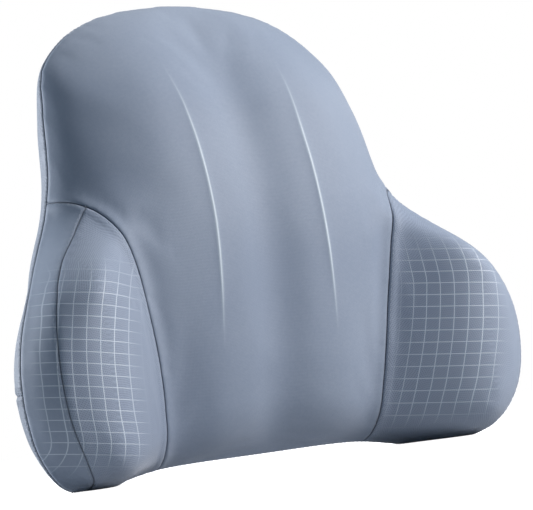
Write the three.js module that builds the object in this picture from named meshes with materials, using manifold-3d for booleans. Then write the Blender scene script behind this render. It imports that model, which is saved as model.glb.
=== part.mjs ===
// Winged lumbar support cushion: a moulded foam core in a thin liner, inside a
// removable cover sewn from front, wing, outer and back panels. The back panel
// opens on a zip and carries two straps, each closed by a side-release buckle.
//
// Millimetres. +X is the sitter's left, seen from the front it points right.
// The front faces -Y, the flat back faces +Y and +Z is up. The cushion stands
// on z = 0, and x = y = 0 is the middle of its overall box.

import * as THREE from 'three';
import { mergeVertices } from 'three/addons/utils/BufferGeometryUtils.js';
import Module from 'manifold-3d';

const wasm = await Module();
wasm.setup();

// ---------------------------------------------------------------- sizes

// Overall body
const cushionWidth = 470;
const cushionHeight = 391;
const cushionDepth = 148;

// Layers, from the outside in
const coverThickness = 2.4;
const linerThickness = 1.0;
const layerGap = 0.3;
const seamGap = 0.4;

// Edge rounding
const wingEdgeRadius = 46;
const topEdgeRadius = 15;
const shoulderRounding = 92;
const topRounding = 62;

// Depth of the edge line in front of the flat back
const topEdgeDepth = 12;
const waistEdgeDepth = 40;
const bottomEdgeDepth = 54;

// Front relief
const ridgeOffset = 54;
const channelHalfWidth = 26;
const channelDepth = 9;
const valleyDrop = 15;
const lumbarDepth = 111;

// Wings
const wingStart = 150;
const wingFullShare = 0.384;
const wingTopShare = 0.627;

// Flat that the cushion stands on: how far the rounded underside is pressed in
const footFlattening = 4;

// Zip
const zipHeight = 76;
const zipLength = 268;
const zipSlot = 10;
const tapeThickness = 0.6;
const tapeRecess = 0.3;
const coilWidth = 2.1;
const coilHeight = 1.5;
const coilSpacing = 1.8;
const stopLength = 3.2;
const sliderLength = 10;
const sliderWidth = 8.4;
const sliderWall = 1.0;
const pullLength = 24;
const pullWidth = 6.4;
const pullThickness = 1.2;
const bridgeWidth = 2;
const bridgeLength = 6.8;
const bridgeClear = 2.4;

// Straps
const strapHeights = { lower: 148, upper: 268 };
const strapWidth = 25;
const strapThickness = 1.6;
const strapReach = 131;
const strapSewnLength = 24;
const strapStandoff = 7;
const strapRampSlope = 1.6;
const strapTail = 20;

// Side-release buckle
const buckleThickness = 9;
const buckleWall = 1.5;
const buckleWidth = 34;
const buckleSideWall = 2.2;
const buckleCorner = 4;
const socketLength = 28;
const socketEndWall = 2;
const plugBaseLength = 10;
const barRadius = 1.5;
const barSlot = 3.4;
const windowStart = 14;
const windowLength = 9;
const tongueWidth = 6;
const tongueLength = 22;
const latchWidth = 3.2;
const latchPress = 0.6;

// Slide adjuster
const adjusterPosition = 74;
const adjusterLength = 20;
const adjusterWidth = 33;
const adjusterThickness = 2.2;
const adjusterBar = 3.4;

// Clearances
const runningGap = 0.4;
const seatGap = 0.3;

// Facets
const outlineSteps = 56;
const edgeSteps = 4;
const frontSteps = 7;
const backRingShares = [0.13, 0.27, 0.6];
const reliefPasses = 2;

// Derived places
const halfWidth = cushionWidth / 2;
const strapMiddle = strapStandoff + strapThickness / 2;
const adjusterRise = adjusterThickness + 2 * seatGap + 1.5 * strapThickness;
const hardwareStandoff = strapMiddle + Math.max(buckleThickness / 2, adjusterRise);
const backPlane = (cushionDepth - hardwareStandoff) / 2;
const crestOffset = halfWidth - wingEdgeRadius;
const wingEdgeDepth = cushionDepth - wingEdgeRadius;
const hub = new THREE.Vector2(0, 0.47 * cushionHeight);

// ---------------------------------------------------------------- finishes

function finish(color, roughness, metalness = 0) {
  return new THREE.MeshStandardMaterial({ color, roughness, metalness });
}

const finishes = {
  knit: finish(0x8a94a8, 0.8),
  mesh: finish(0x7c8aa2, 0.9),
  backMesh: finish(0x6f7b90, 0.92),
  liner: finish(0xe6e8ea, 0.85),
  foam: finish(0xf2efe2, 0.95),
  tape: finish(0x5c6678, 0.85),
  coil: finish(0x4a5262, 0.5),
  zipMetal: finish(0x9aa0a8, 0.35, 1),
  webbing: finish(0x3b4250, 0.85),
  plastic: finish(0x1f2228, 0.5),
};

// ---------------------------------------------------------------- solids

// The closed solid held by a three.js geometry.
function solidFrom(geometry) {
  const bare = geometry.clone();
  bare.deleteAttribute('normal');
  bare.deleteAttribute('uv');
  const merged = mergeVertices(bare, 1e-4);
  return new wasm.Manifold(new wasm.Mesh({
    numProp: 3,
    vertProperties: new Float32Array(merged.attributes.position.array),
    triVerts: new Uint32Array(merged.index.array),
  }));
}

function meshFrom(name, solid, material) {
  const { vertProperties, triVerts } = solid.getMesh();
  const geometry = new THREE.BufferGeometry();
  geometry.setAttribute('position', new THREE.BufferAttribute(vertProperties, 3));
  geometry.setIndex(new THREE.BufferAttribute(triVerts, 1));
  geometry.computeVertexNormals();
  const mesh = new THREE.Mesh(geometry, material);
  mesh.name = name;
  return mesh;
}

function block(x0, x1, y0, y1, z0, z1) {
  const box = new THREE.BoxGeometry(x1 - x0, y1 - y0, z1 - z0);
  box.translate((x0 + x1) / 2, (y0 + y1) / 2, (z0 + z1) / 2);
  return solidFrom(box);
}

// An outline drawn in X and Z, made solid between two depths.
function slabAlongY(shape, y0, y1) {
  const geometry = new THREE.ExtrudeGeometry(shape, {
    depth: y1 - y0,
    bevelEnabled: false,
    curveSegments: 5,
  });
  geometry.rotateX(Math.PI / 2);
  geometry.translate(0, y1, 0);
  return solidFrom(geometry);
}

// An outline drawn in X and Y, made solid between two heights.
function slabAlongZ(shape, z0, z1) {
  const geometry = new THREE.ExtrudeGeometry(shape, {
    depth: z1 - z0,
    bevelEnabled: false,
    curveSegments: 5,
  });
  geometry.translate(0, 0, z0);
  return solidFrom(geometry);
}

function roundedRectangle(x0, x1, y0, y1, radius) {
  const shape = new THREE.Shape();
  shape.moveTo(x0 + radius, y0);
  shape.lineTo(x1 - radius, y0);
  shape.absarc(x1 - radius, y0 + radius, radius, -Math.PI / 2, 0);
  shape.lineTo(x1, y1 - radius);
  shape.absarc(x1 - radius, y1 - radius, radius, 0, Math.PI / 2);
  shape.lineTo(x0 + radius, y1);
  shape.absarc(x0 + radius, y1 - radius, radius, Math.PI / 2, Math.PI);
  shape.lineTo(x0, y0 + radius);
  shape.absarc(x0 + radius, y0 + radius, radius, Math.PI, 1.5 * Math.PI);
  return shape;
}

// The outline of a band of even thickness that follows a line of points.
function bandShape(points, thickness) {
  const sides = points.map((point, i) => {
    const before = points[Math.max(i - 1, 0)];
    const after = points[Math.min(i + 1, points.length - 1)];
    const into = point.clone().sub(before).normalize();
    const outOf = after.clone().sub(point).normalize();
    const along = into.add(outOf).normalize();
    const lean = i > 0 && i < points.length - 1 ? along.dot(outOf) : 1;
    const reach = thickness / 2 / Math.max(lean, 0.5);
    return new THREE.Vector2(-along.y, along.x).multiplyScalar(reach);
  });
  const left = points.map((point, i) => point.clone().add(sides[i]));
  const right = points.map((point, i) => point.clone().sub(sides[i]));
  return new THREE.Shape([...left, ...right.reverse()]);
}

// ---------------------------------------------------------------- body surface

// A smooth curve through [position, value] keys, level beyond the ends.
function smoothProfile(keys) {
  const slopes = keys.map(([at, value], i) => {
    if (i === 0 || i === keys.length - 1) return 0;
    const [before, low] = keys[i - 1];
    const [after, high] = keys[i + 1];
    return (value - low) * (high - value) <= 0 ? 0 : (high - low) / (after - before);
  });
  return (position) => {
    if (position <= keys[0][0]) return keys[0][1];
    const last = keys.findIndex(([at]) => at >= position);
    if (last < 0) return keys[keys.length - 1][1];
    const [x0, y0] = keys[last - 1];
    const [x1, y1] = keys[last];
    const span = x1 - x0;
    const t = (position - x0) / span;
    const rise = t * t * (3 - 2 * t);
    const start = t * (1 - t) * (1 - t) * span * slopes[last - 1];
    const finishSlope = t * t * (t - 1) * span * slopes[last];
    return y0 + (y1 - y0) * rise + start + finishSlope;
  };
}

// Half of the front view, clockwise from the middle of the top: shares of the
// half width and of the height.
const outlineKeys = [
  [0.364, 0.968], [0.577, 0.876], [0.640, 0.753], [0.716, 0.544], [0.944, 0.358],
  [1.0, 0.213], [0.946, 0.067],
];
const footKeys = [[182, -footFlattening], [97, 6.5]];
const bottomRise = 7.5;

const ridgeProfile = smoothProfile([
  [0, 0.80 * lumbarDepth],
  [0.22 * cushionHeight, 0.94 * lumbarDepth],
  [0.47 * cushionHeight, lumbarDepth],
  [0.74 * cushionHeight, 0.83 * lumbarDepth],
  [cushionHeight, 0.42 * lumbarDepth],
]);

const edgeDepthProfile = smoothProfile([
  [0, bottomEdgeDepth],
  [0.3 * cushionHeight, waistEdgeDepth],
  [0.6 * cushionHeight, waistEdgeDepth],
  [cushionHeight, topEdgeDepth],
]);

const edgeRadiusProfile = smoothProfile([
  [0.43 * cushionHeight, wingEdgeRadius],
  [0.75 * cushionHeight, topEdgeRadius + 6],
  [cushionHeight, topEdgeRadius],
]);

const frontRoundingProfile = smoothProfile([
  [0.40 * cushionHeight, wingEdgeRadius],
  [0.66 * cushionHeight, shoulderRounding],
  [0.85 * cushionHeight, shoulderRounding],
  [cushionHeight, topRounding],
]);

// How much of the wing is there at a height: all of it low down, none above.
function wingShare(z) {
  return 1 - THREE.MathUtils.smoothstep(z / cushionHeight, wingFullShare, wingTopShare);
}

// The seam between centre panel and wing runs up the valley, then turns
// outwards over the waist to the edge.
const mainSeamKeys = [
  [0.426, -0.077], [0.434, 0], [0.451, 0.118], [0.472, 0.233], [0.498, 0.335],
  [0.532, 0.435], [0.580, 0.512], [0.627, 0.551], [0.700, 0.576], [0.860, 0.598],
  [1.106, 0.609],
];

// The seam just outside the crest of the wing leaves the main seam at the waist.
const crestSeamKeys = [
  [0.627, 0.551], [0.706, 0.497], [0.806, 0.435], [0.882, 0.372], [0.925, 0.300],
  [0.937, 0.215], [0.918, 0.125], [0.863, 0.049], [0.790, -0.010], [0.740, -0.077],
];

// Shares of the half width and of the height as a curve in millimetres.
function frontCurve(keys) {
  return new THREE.SplineCurve(keys.map(
    ([x, z]) => new THREE.Vector2(x * halfWidth, z * cushionHeight)));
}

// The valley between body and wing follows the seam up to where it turns out.
const valleyOffset = smoothProfile(
  mainSeamKeys.slice(0, 8).map(([x, z]) => [z * cushionHeight, x * halfWidth]));

// Depth in front of the flat back, over the open front.
function frontDepth(x, z) {
  const side = Math.abs(x);
  const valley = valleyOffset(z);
  const channel = channelDepth * Math.exp(-((side / channelHalfWidth) ** 2));
  const drop = valleyDrop * THREE.MathUtils.smoothstep(side, ridgeOffset, valley);
  const body = ridgeProfile(z) - channel - drop;
  const rise = THREE.MathUtils.smoothstep(side, valley, Math.max(crestOffset, valley + 55));
  const wing = rise * wingShare(z);
  return THREE.MathUtils.lerp(body, cushionDepth, wing);
}

// Depth of the rear face: flat, then forward behind the wings.
function backDepth(x, z) {
  const turn = THREE.MathUtils.smoothstep(Math.abs(x), wingStart, halfWidth - 18);
  return (wingEdgeDepth - wingEdgeRadius) * turn * wingShare(z);
}

function edgeDepth(x, z) {
  const out = THREE.MathUtils.clamp((Math.abs(x) - 140) / (halfWidth - 140), 0, 1);
  return THREE.MathUtils.lerp(edgeDepthProfile(z), wingEdgeDepth, out * wingShare(z));
}

function outlinePoints() {
  const upper = outlineKeys.map(([x, z]) => [x * halfWidth, z * cushionHeight]);
  const half = [...upper, ...footKeys];
  const left = half.map(([x, z]) => [-x, z]).reverse();
  const loop = [[0, cushionHeight], ...half, [0, bottomRise], ...left];
  const curve = new THREE.CatmullRomCurve3(
    loop.map(([x, z]) => new THREE.Vector3(x, z, 0)), true, 'catmullrom', 0.5);
  return curve.getSpacedPoints(outlineSteps).slice(0, outlineSteps);
}

// Rings of points, each once round the outline: from next to the front hub out
// to the edge, then in again over the back.
function bodyRings() {
  const outline = outlinePoints();
  const ring = (distance, depth) => outline.map((edge) => {
    const arm = new THREE.Vector2(hub.x - edge.x, hub.y - edge.y);
    const length = arm.length();
    const inward = distance(edge, length);
    const x = edge.x + (arm.x * inward) / length;
    const z = edge.y + (arm.y * inward) / length;
    return new THREE.Vector3(x, backPlane - depth(x, z, edge), z);
  });
  const rings = [];
  for (let i = 1; i < frontSteps; i += 1) {
    rings.push(ring(
      (edge, length) => length + ((frontRoundingProfile(edge.y) - length) * i) / frontSteps,
      frontDepth));
  }
  for (let i = edgeSteps; i > 0; i -= 1) {
    const angle = (i / edgeSteps) * (Math.PI / 2);
    rings.push(ring(
      (edge) => frontRoundingProfile(edge.y) * (1 - Math.cos(angle)),
      (x, z, edge) => THREE.MathUtils.lerp(
        edgeDepth(edge.x, edge.y), frontDepth(x, z), Math.sin(angle))));
  }
  const edgeRing = rings.length;
  rings.push(ring(() => 0, (x, z, edge) => edgeDepth(edge.x, edge.y)));
  for (let i = 1; i <= edgeSteps; i += 1) {
    const angle = (i / edgeSteps) * (Math.PI / 2);
    rings.push(ring(
      (edge) => edgeRadiusProfile(edge.y) * (1 - Math.cos(angle)),
      (x, z, edge) => THREE.MathUtils.lerp(
        edgeDepth(edge.x, edge.y), backDepth(x, z), Math.sin(angle))));
  }
  backRingShares.forEach((share) => {
    rings.push(ring(
      (edge, length) => THREE.MathUtils.lerp(edgeRadiusProfile(edge.y), length, share),
      backDepth));
  });
  for (let pass = 0; pass < reliefPasses; pass += 1) softenRelief(rings, edgeRing);
  return { rings, edgeRing };
}

// Moves the depth of each point in front of the edge half way to the mean of
// its four neighbours, so that no facet stands out where the wing rises.
function softenRelief(rings, edgeRing) {
  const depths = rings.map((ring) => ring.map((point) => point.y));
  for (let r = 1; r < edgeRing; r += 1) {
    rings[r].forEach((point, step) => {
      const before = (step + outlineSteps - 1) % outlineSteps;
      const after = (step + 1) % outlineSteps;
      const mean = (depths[r][before] + depths[r][after]
        + depths[r - 1][step] + depths[r + 1][step]) / 4;
      point.y = (depths[r][step] + mean) / 2;
    });
  }
}

// Triangles between a row of rings, with a fan to the pole at each end. Each
// four-sided facet is split along the same diagonal in every layer, mirrored on
// the left half, so `isTurned` says which rings of the row run backwards.
function skinBetween(rings, firstPole, lastPole, isTurned = () => false) {
  const positions = [];
  const indices = [];
  rings.forEach((ring) => ring.forEach((point) => positions.push(...point.toArray())));
  const at = (ring, step) => ring * outlineSteps + (step % outlineSteps);
  for (let ring = 0; ring < rings.length - 1; ring += 1) {
    for (let step = 0; step < outlineSteps; step += 1) {
      const corners = [
        at(ring, step), at(ring, step + 1), at(ring + 1, step + 1), at(ring + 1, step),
      ];
      if ((step < outlineSteps / 2) === isTurned(ring)) corners.push(corners.shift());
      const [a, b, c, d] = corners;
      indices.push(a, b, c, a, c, d);
    }
  }
  const fan = (pole, ring, turned) => {
    const apex = positions.length / 3;
    positions.push(...pole.toArray());
    for (let step = 0; step < outlineSteps; step += 1) {
      const pair = [at(ring, step), at(ring, step + 1)];
      indices.push(apex, ...(turned ? pair.reverse() : pair));
    }
  };
  fan(firstPole, 0, true);
  fan(lastPole, rings.length - 1, false);
  const geometry = new THREE.BufferGeometry();
  geometry.setAttribute('position', new THREE.Float32BufferAttribute(positions, 3));
  geometry.setIndex(indices);
  return geometry;
}

const { rings: outerRings, edgeRing } = bodyRings();
const outerPoles = [
  new THREE.Vector3(hub.x, backPlane - frontDepth(hub.x, hub.y), hub.y),
  new THREE.Vector3(hub.x, backPlane - backDepth(hub.x, hub.y), hub.y),
];
const outerSkin = skinBetween(outerRings, ...outerPoles);
outerSkin.computeVertexNormals();

// The same rings and poles, moved in from the outer surface and kept that far
// above the floor.
function layerAt(inset) {
  const normals = outerSkin.attributes.normal;
  const moved = (point, index) => {
    const normal = new THREE.Vector3().fromBufferAttribute(normals, index);
    const inner = point.clone().addScaledVector(normal, -inset);
    inner.z = Math.max(inner.z, inset);
    return inner;
  };
  const rings = outerRings.map((ring, r) => ring.map(
    (point, step) => moved(point, r * outlineSteps + step)));
  const firstPole = outerRings.length * outlineSteps;
  const poles = outerPoles.map((pole, i) => moved(pole, firstPole + i));
  return { rings, poles };
}

function solidAt(inset) {
  const { rings, poles } = layerAt(inset);
  return solidFrom(skinBetween(rings, ...poles));
}

// One side of a layer as a sheet, trimmed by half a seam gap at the edge.
function sheetBetween(outerInset, innerInset, side) {
  const outer = layerAt(outerInset);
  const inner = layerAt(innerInset);
  const trim = (ring) => ring.map((point) => point.clone().add(
    new THREE.Vector3(0, (side === 'front' ? -seamGap : seamGap) / 2, 0)));
  const part = ({ rings }) => {
    const kept = side === 'front'
      ? rings.slice(0, edgeRing)
      : rings.slice(edgeRing + 1).reverse();
    return [...kept, trim(rings[edgeRing])];
  };
  const pole = side === 'front' ? 0 : 1;
  const outerPart = part(outer);
  const skin = skinBetween(
    [...outerPart, ...part(inner).reverse()], outer.poles[pole], inner.poles[pole],
    (ring) => (ring < outerPart.length) === (side === 'back'));
  if (side === 'back') skin.index.array.reverse();
  return solidFrom(skin);
}

// ---------------------------------------------------------------- cover

const seamSamples = 40;
const beyond = 2 * halfWidth;

function mirrored(points) {
  return points.map((point) => new THREE.Vector2(-point.x, point.y));
}

// Points along both seams, with the crest seam starting on the main seam.
const mainSeamPoints = frontCurve(mainSeamKeys).getPoints(seamSamples);
const crestSeamPoints = frontCurve(crestSeamKeys).getPoints(seamSamples);
const branchIndex = mainSeamPoints.findIndex((point) => point.y >= crestSeamPoints[0].y);

function throughDepth(shape) {
  return slabAlongY(shape, -beyond, beyond);
}

function region(points, side) {
  const placed = side === 'left' ? mirrored(points).reverse() : points;
  return throughDepth(new THREE.Shape(placed));
}

function wingRegion(side) {
  return region([...crestSeamPoints, ...mainSeamPoints.slice(0, branchIndex)], side);
}

function outerRegion(side) {
  const corners = [new THREE.Vector2(beyond, mainSeamPoints[seamSamples].y)];
  corners.push(new THREE.Vector2(beyond, -beyond));
  corners.push(new THREE.Vector2(crestSeamPoints[seamSamples].x, -beyond));
  const seams = [...crestSeamPoints].reverse().concat(mainSeamPoints.slice(branchIndex));
  return region([...seams, ...corners].reverse(), side);
}

function centreRegion() {
  const right = [new THREE.Vector2(mainSeamPoints[0].x, -beyond), ...mainSeamPoints];
  right.push(new THREE.Vector2(beyond, mainSeamPoints[seamSamples].y));
  right.push(new THREE.Vector2(beyond, beyond));
  return throughDepth(new THREE.Shape([...right, ...mirrored(right).reverse()]));
}

function seamKnives() {
  const lines = [mainSeamPoints, crestSeamPoints];
  return [...lines, ...lines.map(mirrored)].map(
    (points) => throughDepth(bandShape(points, seamGap)));
}

function buildCover() {
  const front = sheetBetween(0, coverThickness, 'front');
  const cutFront = seamKnives().reduce((sheet, knife) => sheet.subtract(knife), front);
  const pieces = [
    meshFrom('cover_centre_panel', cutFront.intersect(centreRegion()), finishes.knit),
  ];
  ['left', 'right'].forEach((side) => {
    pieces.push(meshFrom(
      `cover_wing_panel_${side}`, cutFront.intersect(wingRegion(side)), finishes.mesh));
    pieces.push(meshFrom(
      `cover_outer_panel_${side}`, cutFront.intersect(outerRegion(side)), finishes.knit));
  });
  const back = sheetBetween(0, coverThickness, 'back');
  const slot = block(
    -zipLength / 2 - stopLength, zipLength / 2 + stopLength, 0, beyond,
    zipHeight - zipSlot / 2, zipHeight + zipSlot / 2);
  const opened = back.subtract(slot);
  const upper = block(-beyond, beyond, -beyond, beyond, zipHeight + seamGap / 2, beyond);
  const lower = block(-beyond, beyond, -beyond, beyond, -beyond, zipHeight - seamGap / 2);
  pieces.push(meshFrom('back_panel_upper', opened.intersect(upper), finishes.backMesh));
  pieces.push(meshFrom('back_panel_lower', opened.intersect(lower), finishes.backMesh));
  return pieces;
}

// ---------------------------------------------------------------- filling

function buildFilling() {
  const linerInset = coverThickness + layerGap;
  const foamInset = linerInset + linerThickness + layerGap;
  const slit = block(
    -zipLength / 2, zipLength / 2, 0, beyond,
    zipHeight - coilSpacing, zipHeight + coilSpacing);
  const liner = solidAt(linerInset).subtract(solidAt(linerInset + linerThickness));
  return [
    meshFrom('inner_liner', liner.subtract(slit), finishes.liner),
    meshFrom('foam_core', solidAt(foamInset), finishes.foam),
  ];
}

// ---------------------------------------------------------------- zip

// Zip sizes count outwards from the flat back, in the slot of the back panel.
function buildZip() {
  const group = new THREE.Group();
  group.position.set(0, backPlane, zipHeight);
  const half = zipLength / 2;
  const tapeTop = -tapeRecess;
  const tapeBottom = tapeTop - tapeThickness;
  const coilBottom = tapeTop + seatGap;
  const coilTop = coilBottom + coilHeight;
  const coilIn = coilSpacing / 2;
  const coilOut = coilIn + coilWidth;
  [['upper', 1], ['lower', -1]].forEach(([name, sign]) => {
    const between = (a, b) => [Math.min(sign * a, sign * b), Math.max(sign * a, sign * b)];
    const tape = block(
      -half, half, tapeBottom, tapeTop, ...between(coilIn, zipSlot / 2 - seatGap));
    group.add(meshFrom(`zip_tape_${name}`, tape, finishes.tape));
    const section = new THREE.Shape([
      new THREE.Vector2(coilIn, coilBottom),
      new THREE.Vector2(coilOut, coilBottom),
      new THREE.Vector2(coilOut, coilTop - coilHeight / 3),
      new THREE.Vector2(coilOut - coilWidth / 4, coilTop),
      new THREE.Vector2(coilIn + coilWidth / 4, coilTop),
      new THREE.Vector2(coilIn, coilTop - coilHeight / 3),
    ]);
    const coil = new THREE.ExtrudeGeometry(section, { depth: zipLength, bevelEnabled: false });
    coil.applyMatrix4(new THREE.Matrix4().makeBasis(
      new THREE.Vector3(0, 0, sign), new THREE.Vector3(0, 1, 0), new THREE.Vector3(-sign, 0, 0)));
    coil.translate(sign * half, 0, 0);
    group.add(meshFrom(`zip_coil_${name}`, solidFrom(coil), finishes.coil));
  });
  ['left', 'right'].forEach((name, i) => {
    const sign = i ? 1 : -1;
    const outline = roundedRectangle(-stopLength / 2 + seatGap / 2, stopLength / 2 - seatGap / 2,
      -zipSlot / 2 + seatGap, zipSlot / 2 - seatGap, 0.8);
    const stop = meshFrom(
      `zip_stop_${name}`, slabAlongY(outline, tapeBottom, coilTop), finishes.zipMetal);
    stop.position.x = sign * (half + stopLength / 2);
    group.add(stop);
  });

  const slider = new THREE.Group();
  slider.position.x = half - sliderLength / 2 - runningGap;
  const reach = sliderLength / 2;
  const roofBottom = coilTop + runningGap;
  const roofTop = roofBottom + sliderWall;
  const floorTop = tapeBottom - runningGap;
  const flangeIn = coilOut + runningGap;
  const roof = slabAlongY(
    roundedRectangle(-reach, reach, -sliderWidth / 2, sliderWidth / 2, 1.6), roofBottom, roofTop);
  const floor = slabAlongY(
    roundedRectangle(-reach, reach, -flangeIn, flangeIn, 1.2), floorTop - 0.8, floorTop);
  const post = block(
    -1.5, 1.5, floorTop, roofBottom, -coilIn + runningGap, coilIn - runningGap);
  const flange = (sign) => block(
    -reach + 1.6, reach - 1.6, tapeTop + seatGap, roofBottom,
    Math.min(sign * flangeIn, (sign * sliderWidth) / 2),
    Math.max(sign * flangeIn, (sign * sliderWidth) / 2));
  const bridgeTop = roofTop + bridgeClear + sliderWall;
  const arch = slabAlongZ(
    roundedRectangle(-bridgeLength / 2, bridgeLength / 2, roofTop - 0.5, bridgeTop, 0.9),
    -bridgeWidth / 2, bridgeWidth / 2);
  const archGap = block(
    -bridgeLength / 2 + sliderWall, bridgeLength / 2 - sliderWall, roofTop,
    roofTop + bridgeClear, -bridgeWidth, bridgeWidth);
  const sliderBody = [post, flange(1), flange(-1), floor, arch.subtract(archGap)]
    .reduce((body, piece) => body.add(piece), roof);
  slider.add(meshFrom('zip_slider', sliderBody, finishes.zipMetal));

  // The pull's cross bar lies in the bridge and the pull swings about it.
  const tab = roundedRectangle(-pullLength, pullThickness / 2, -pullWidth / 2, pullWidth / 2, 0.6);
  const eye = new THREE.Path();
  const eyeSide = bridgeWidth / 2 + runningGap;
  const eyeEnd = bridgeLength / 2 + 1.6;
  eye.moveTo(-pullThickness / 2, -eyeSide);
  eye.lineTo(-eyeEnd, -eyeSide);
  eye.lineTo(-eyeEnd, eyeSide);
  eye.lineTo(-pullThickness / 2, eyeSide);
  tab.holes.push(eye);
  const hangHole = new THREE.Path();
  hangHole.absarc(-pullLength + 3.4, 0, 1.3, 0, 2 * Math.PI);
  tab.holes.push(hangHole);
  const pull = meshFrom(
    'zip_pull', slabAlongY(tab, -pullThickness / 2, pullThickness / 2), finishes.zipMetal);
  pull.position.y = roofTop + bridgeClear / 2;
  slider.add(pull);
  group.add(slider);
  return group;
}

// ---------------------------------------------------------------- straps

// A webbing's middle line: sewn flat on the back, up to the strap's standoff,
// then round the buckle's bar and back along itself. `bar` is where the bar
// stands and `lift` are the places where the webbing rises over an adjuster.
function webbingLine(bar, lift) {
  const sewn = seatGap + strapThickness / 2;
  const start = strapReach;
  const rampStart = start - strapSewnLength;
  const rampEnd = rampStart - strapRampSlope * strapMiddle;
  const wrap = barRadius + runningGap + strapThickness / 2;
  const under = strapMiddle - strapThickness - seatGap;
  const points = [
    [start, sewn], [rampStart, sewn], [rampStart - 3, sewn + 0.6],
    [rampEnd + 3, strapMiddle - 0.6], [rampEnd, strapMiddle], ...lift,
    [bar + wrap + 8, strapMiddle], [bar + 2.5, strapMiddle + wrap],
  ];
  const turnSteps = 8;
  for (let i = 1; i < turnSteps; i += 1) {
    const angle = Math.PI / 2 + (i / turnSteps) * Math.PI;
    points.push([bar + wrap * Math.cos(angle), strapMiddle + wrap * Math.sin(angle)]);
  }
  points.push([bar + 2, strapMiddle - wrap], [bar + wrap + 6, under]);
  points.push([bar + wrap + strapTail, under]);
  return points.map(([x, y]) => new THREE.Vector2(x, y));
}

// The webbing's rise over the middle bar of the slide adjuster.
function adjusterLift() {
  const slot = (adjusterLength - 3 * adjusterBar) / 2;
  const outer = adjusterPosition + adjusterBar / 2 + slot - 0.9;
  const inner = adjusterPosition + adjusterBar / 2 + 0.9;
  const top = strapMiddle + adjusterThickness + 2 * seatGap + strapThickness;
  const rise = [[outer, strapMiddle], [inner, top]];
  const fall = rise.map(([x, y]) => [2 * adjusterPosition - x, y]).reverse();
  return [...rise, ...fall];
}

// The end of a buckle half that holds the webbing: the shell is opened beyond
// `start`, leaving two side arms with a round bar between them.
function addWebbingBar(shell, start, sign) {
  const slotSide = strapWidth / 2 + 1;
  const far = start + sign * (barSlot + 2 * barRadius + buckleCorner);
  const opening = block(
    Math.min(start, far), Math.max(start, far), -buckleThickness, buckleThickness,
    -slotSide, slotSide);
  const bar = new THREE.CylinderGeometry(barRadius, barRadius, 2 * slotSide + 2, 12);
  bar.rotateX(Math.PI / 2);
  bar.translate(start + sign * (barSlot + barRadius), 0, 0);
  return shell.subtract(opening).add(solidFrom(bar));
}

function buildSocket() {
  const half = buckleThickness / 2;
  const side = buckleWidth / 2;
  const end = -socketLength - barSlot - 2 * barRadius;
  const shell = slabAlongY(roundedRectangle(end, 0, -side, side, buckleCorner), -half, half);
  const cavity = block(
    -socketLength + socketEndWall, buckleCorner, -half + buckleWall, half - buckleWall,
    -side + buckleSideWall, side - buckleSideWall);
  const windows = block(
    -windowStart - windowLength, -windowStart, -half + buckleWall, half - buckleWall,
    -buckleWidth, buckleWidth);
  return addWebbingBar(shell.subtract(cavity).subtract(windows), -socketLength, -1);
}

function buildPlug() {
  const half = buckleThickness / 2;
  const side = buckleWidth / 2;
  const end = plugBaseLength + barSlot + 2 * barRadius;
  const base = slabAlongY(
    roundedRectangle(runningGap, end, -side, side, buckleCorner), -half, half);
  const tongueHalf = half - buckleWall - runningGap;
  const tongue = slabAlongY(
    roundedRectangle(-tongueLength, tongueWidth, -tongueWidth / 2, tongueWidth / 2, 2),
    -tongueHalf, tongueHalf);
  return addWebbingBar(base.add(tongue), plugBaseLength, 1);
}

// One springy latch arm of the plug, its head standing in the socket's window.
function buildLatch(sign) {
  const half = buckleThickness / 2 - buckleWall - runningGap;
  const outer = buckleWidth / 2 - buckleSideWall - runningGap;
  const headStart = -windowStart - runningGap;
  const headEnd = -windowStart - windowLength + runningGap;
  const press = buckleWidth / 2 + latchPress;
  const outline = new THREE.Shape([
    [0, outer], [headStart, outer], [headStart, press - 0.8], [headStart - 1.2, press],
    [headStart - 4, press - 0.3], [headEnd, outer], [headEnd - 1.6, outer - 1.6],
    [headEnd - 1.6, outer - latchWidth], [0, outer - latchWidth],
  ].map(([x, z]) => new THREE.Vector2(x, sign * z)));
  return slabAlongY(outline, -half, half);
}

// Four bars round two slots, in the frame's own middle.
function buildAdjuster() {
  const half = adjusterThickness / 2;
  const frame = roundedRectangle(
    -adjusterLength / 2, adjusterLength / 2, -adjusterWidth / 2, adjusterWidth / 2, 3);
  const slotSide = strapWidth / 2 + 1;
  const inner = adjusterBar / 2;
  const outer = adjusterLength / 2 - adjusterBar;
  [[-outer, -inner], [inner, outer]].forEach(([x0, x1]) => {
    frame.holes.push(roundedRectangle(x0, x1, -slotSide, slotSide, 0.8));
  });
  return slabAlongY(frame, -half, half);
}

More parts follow.
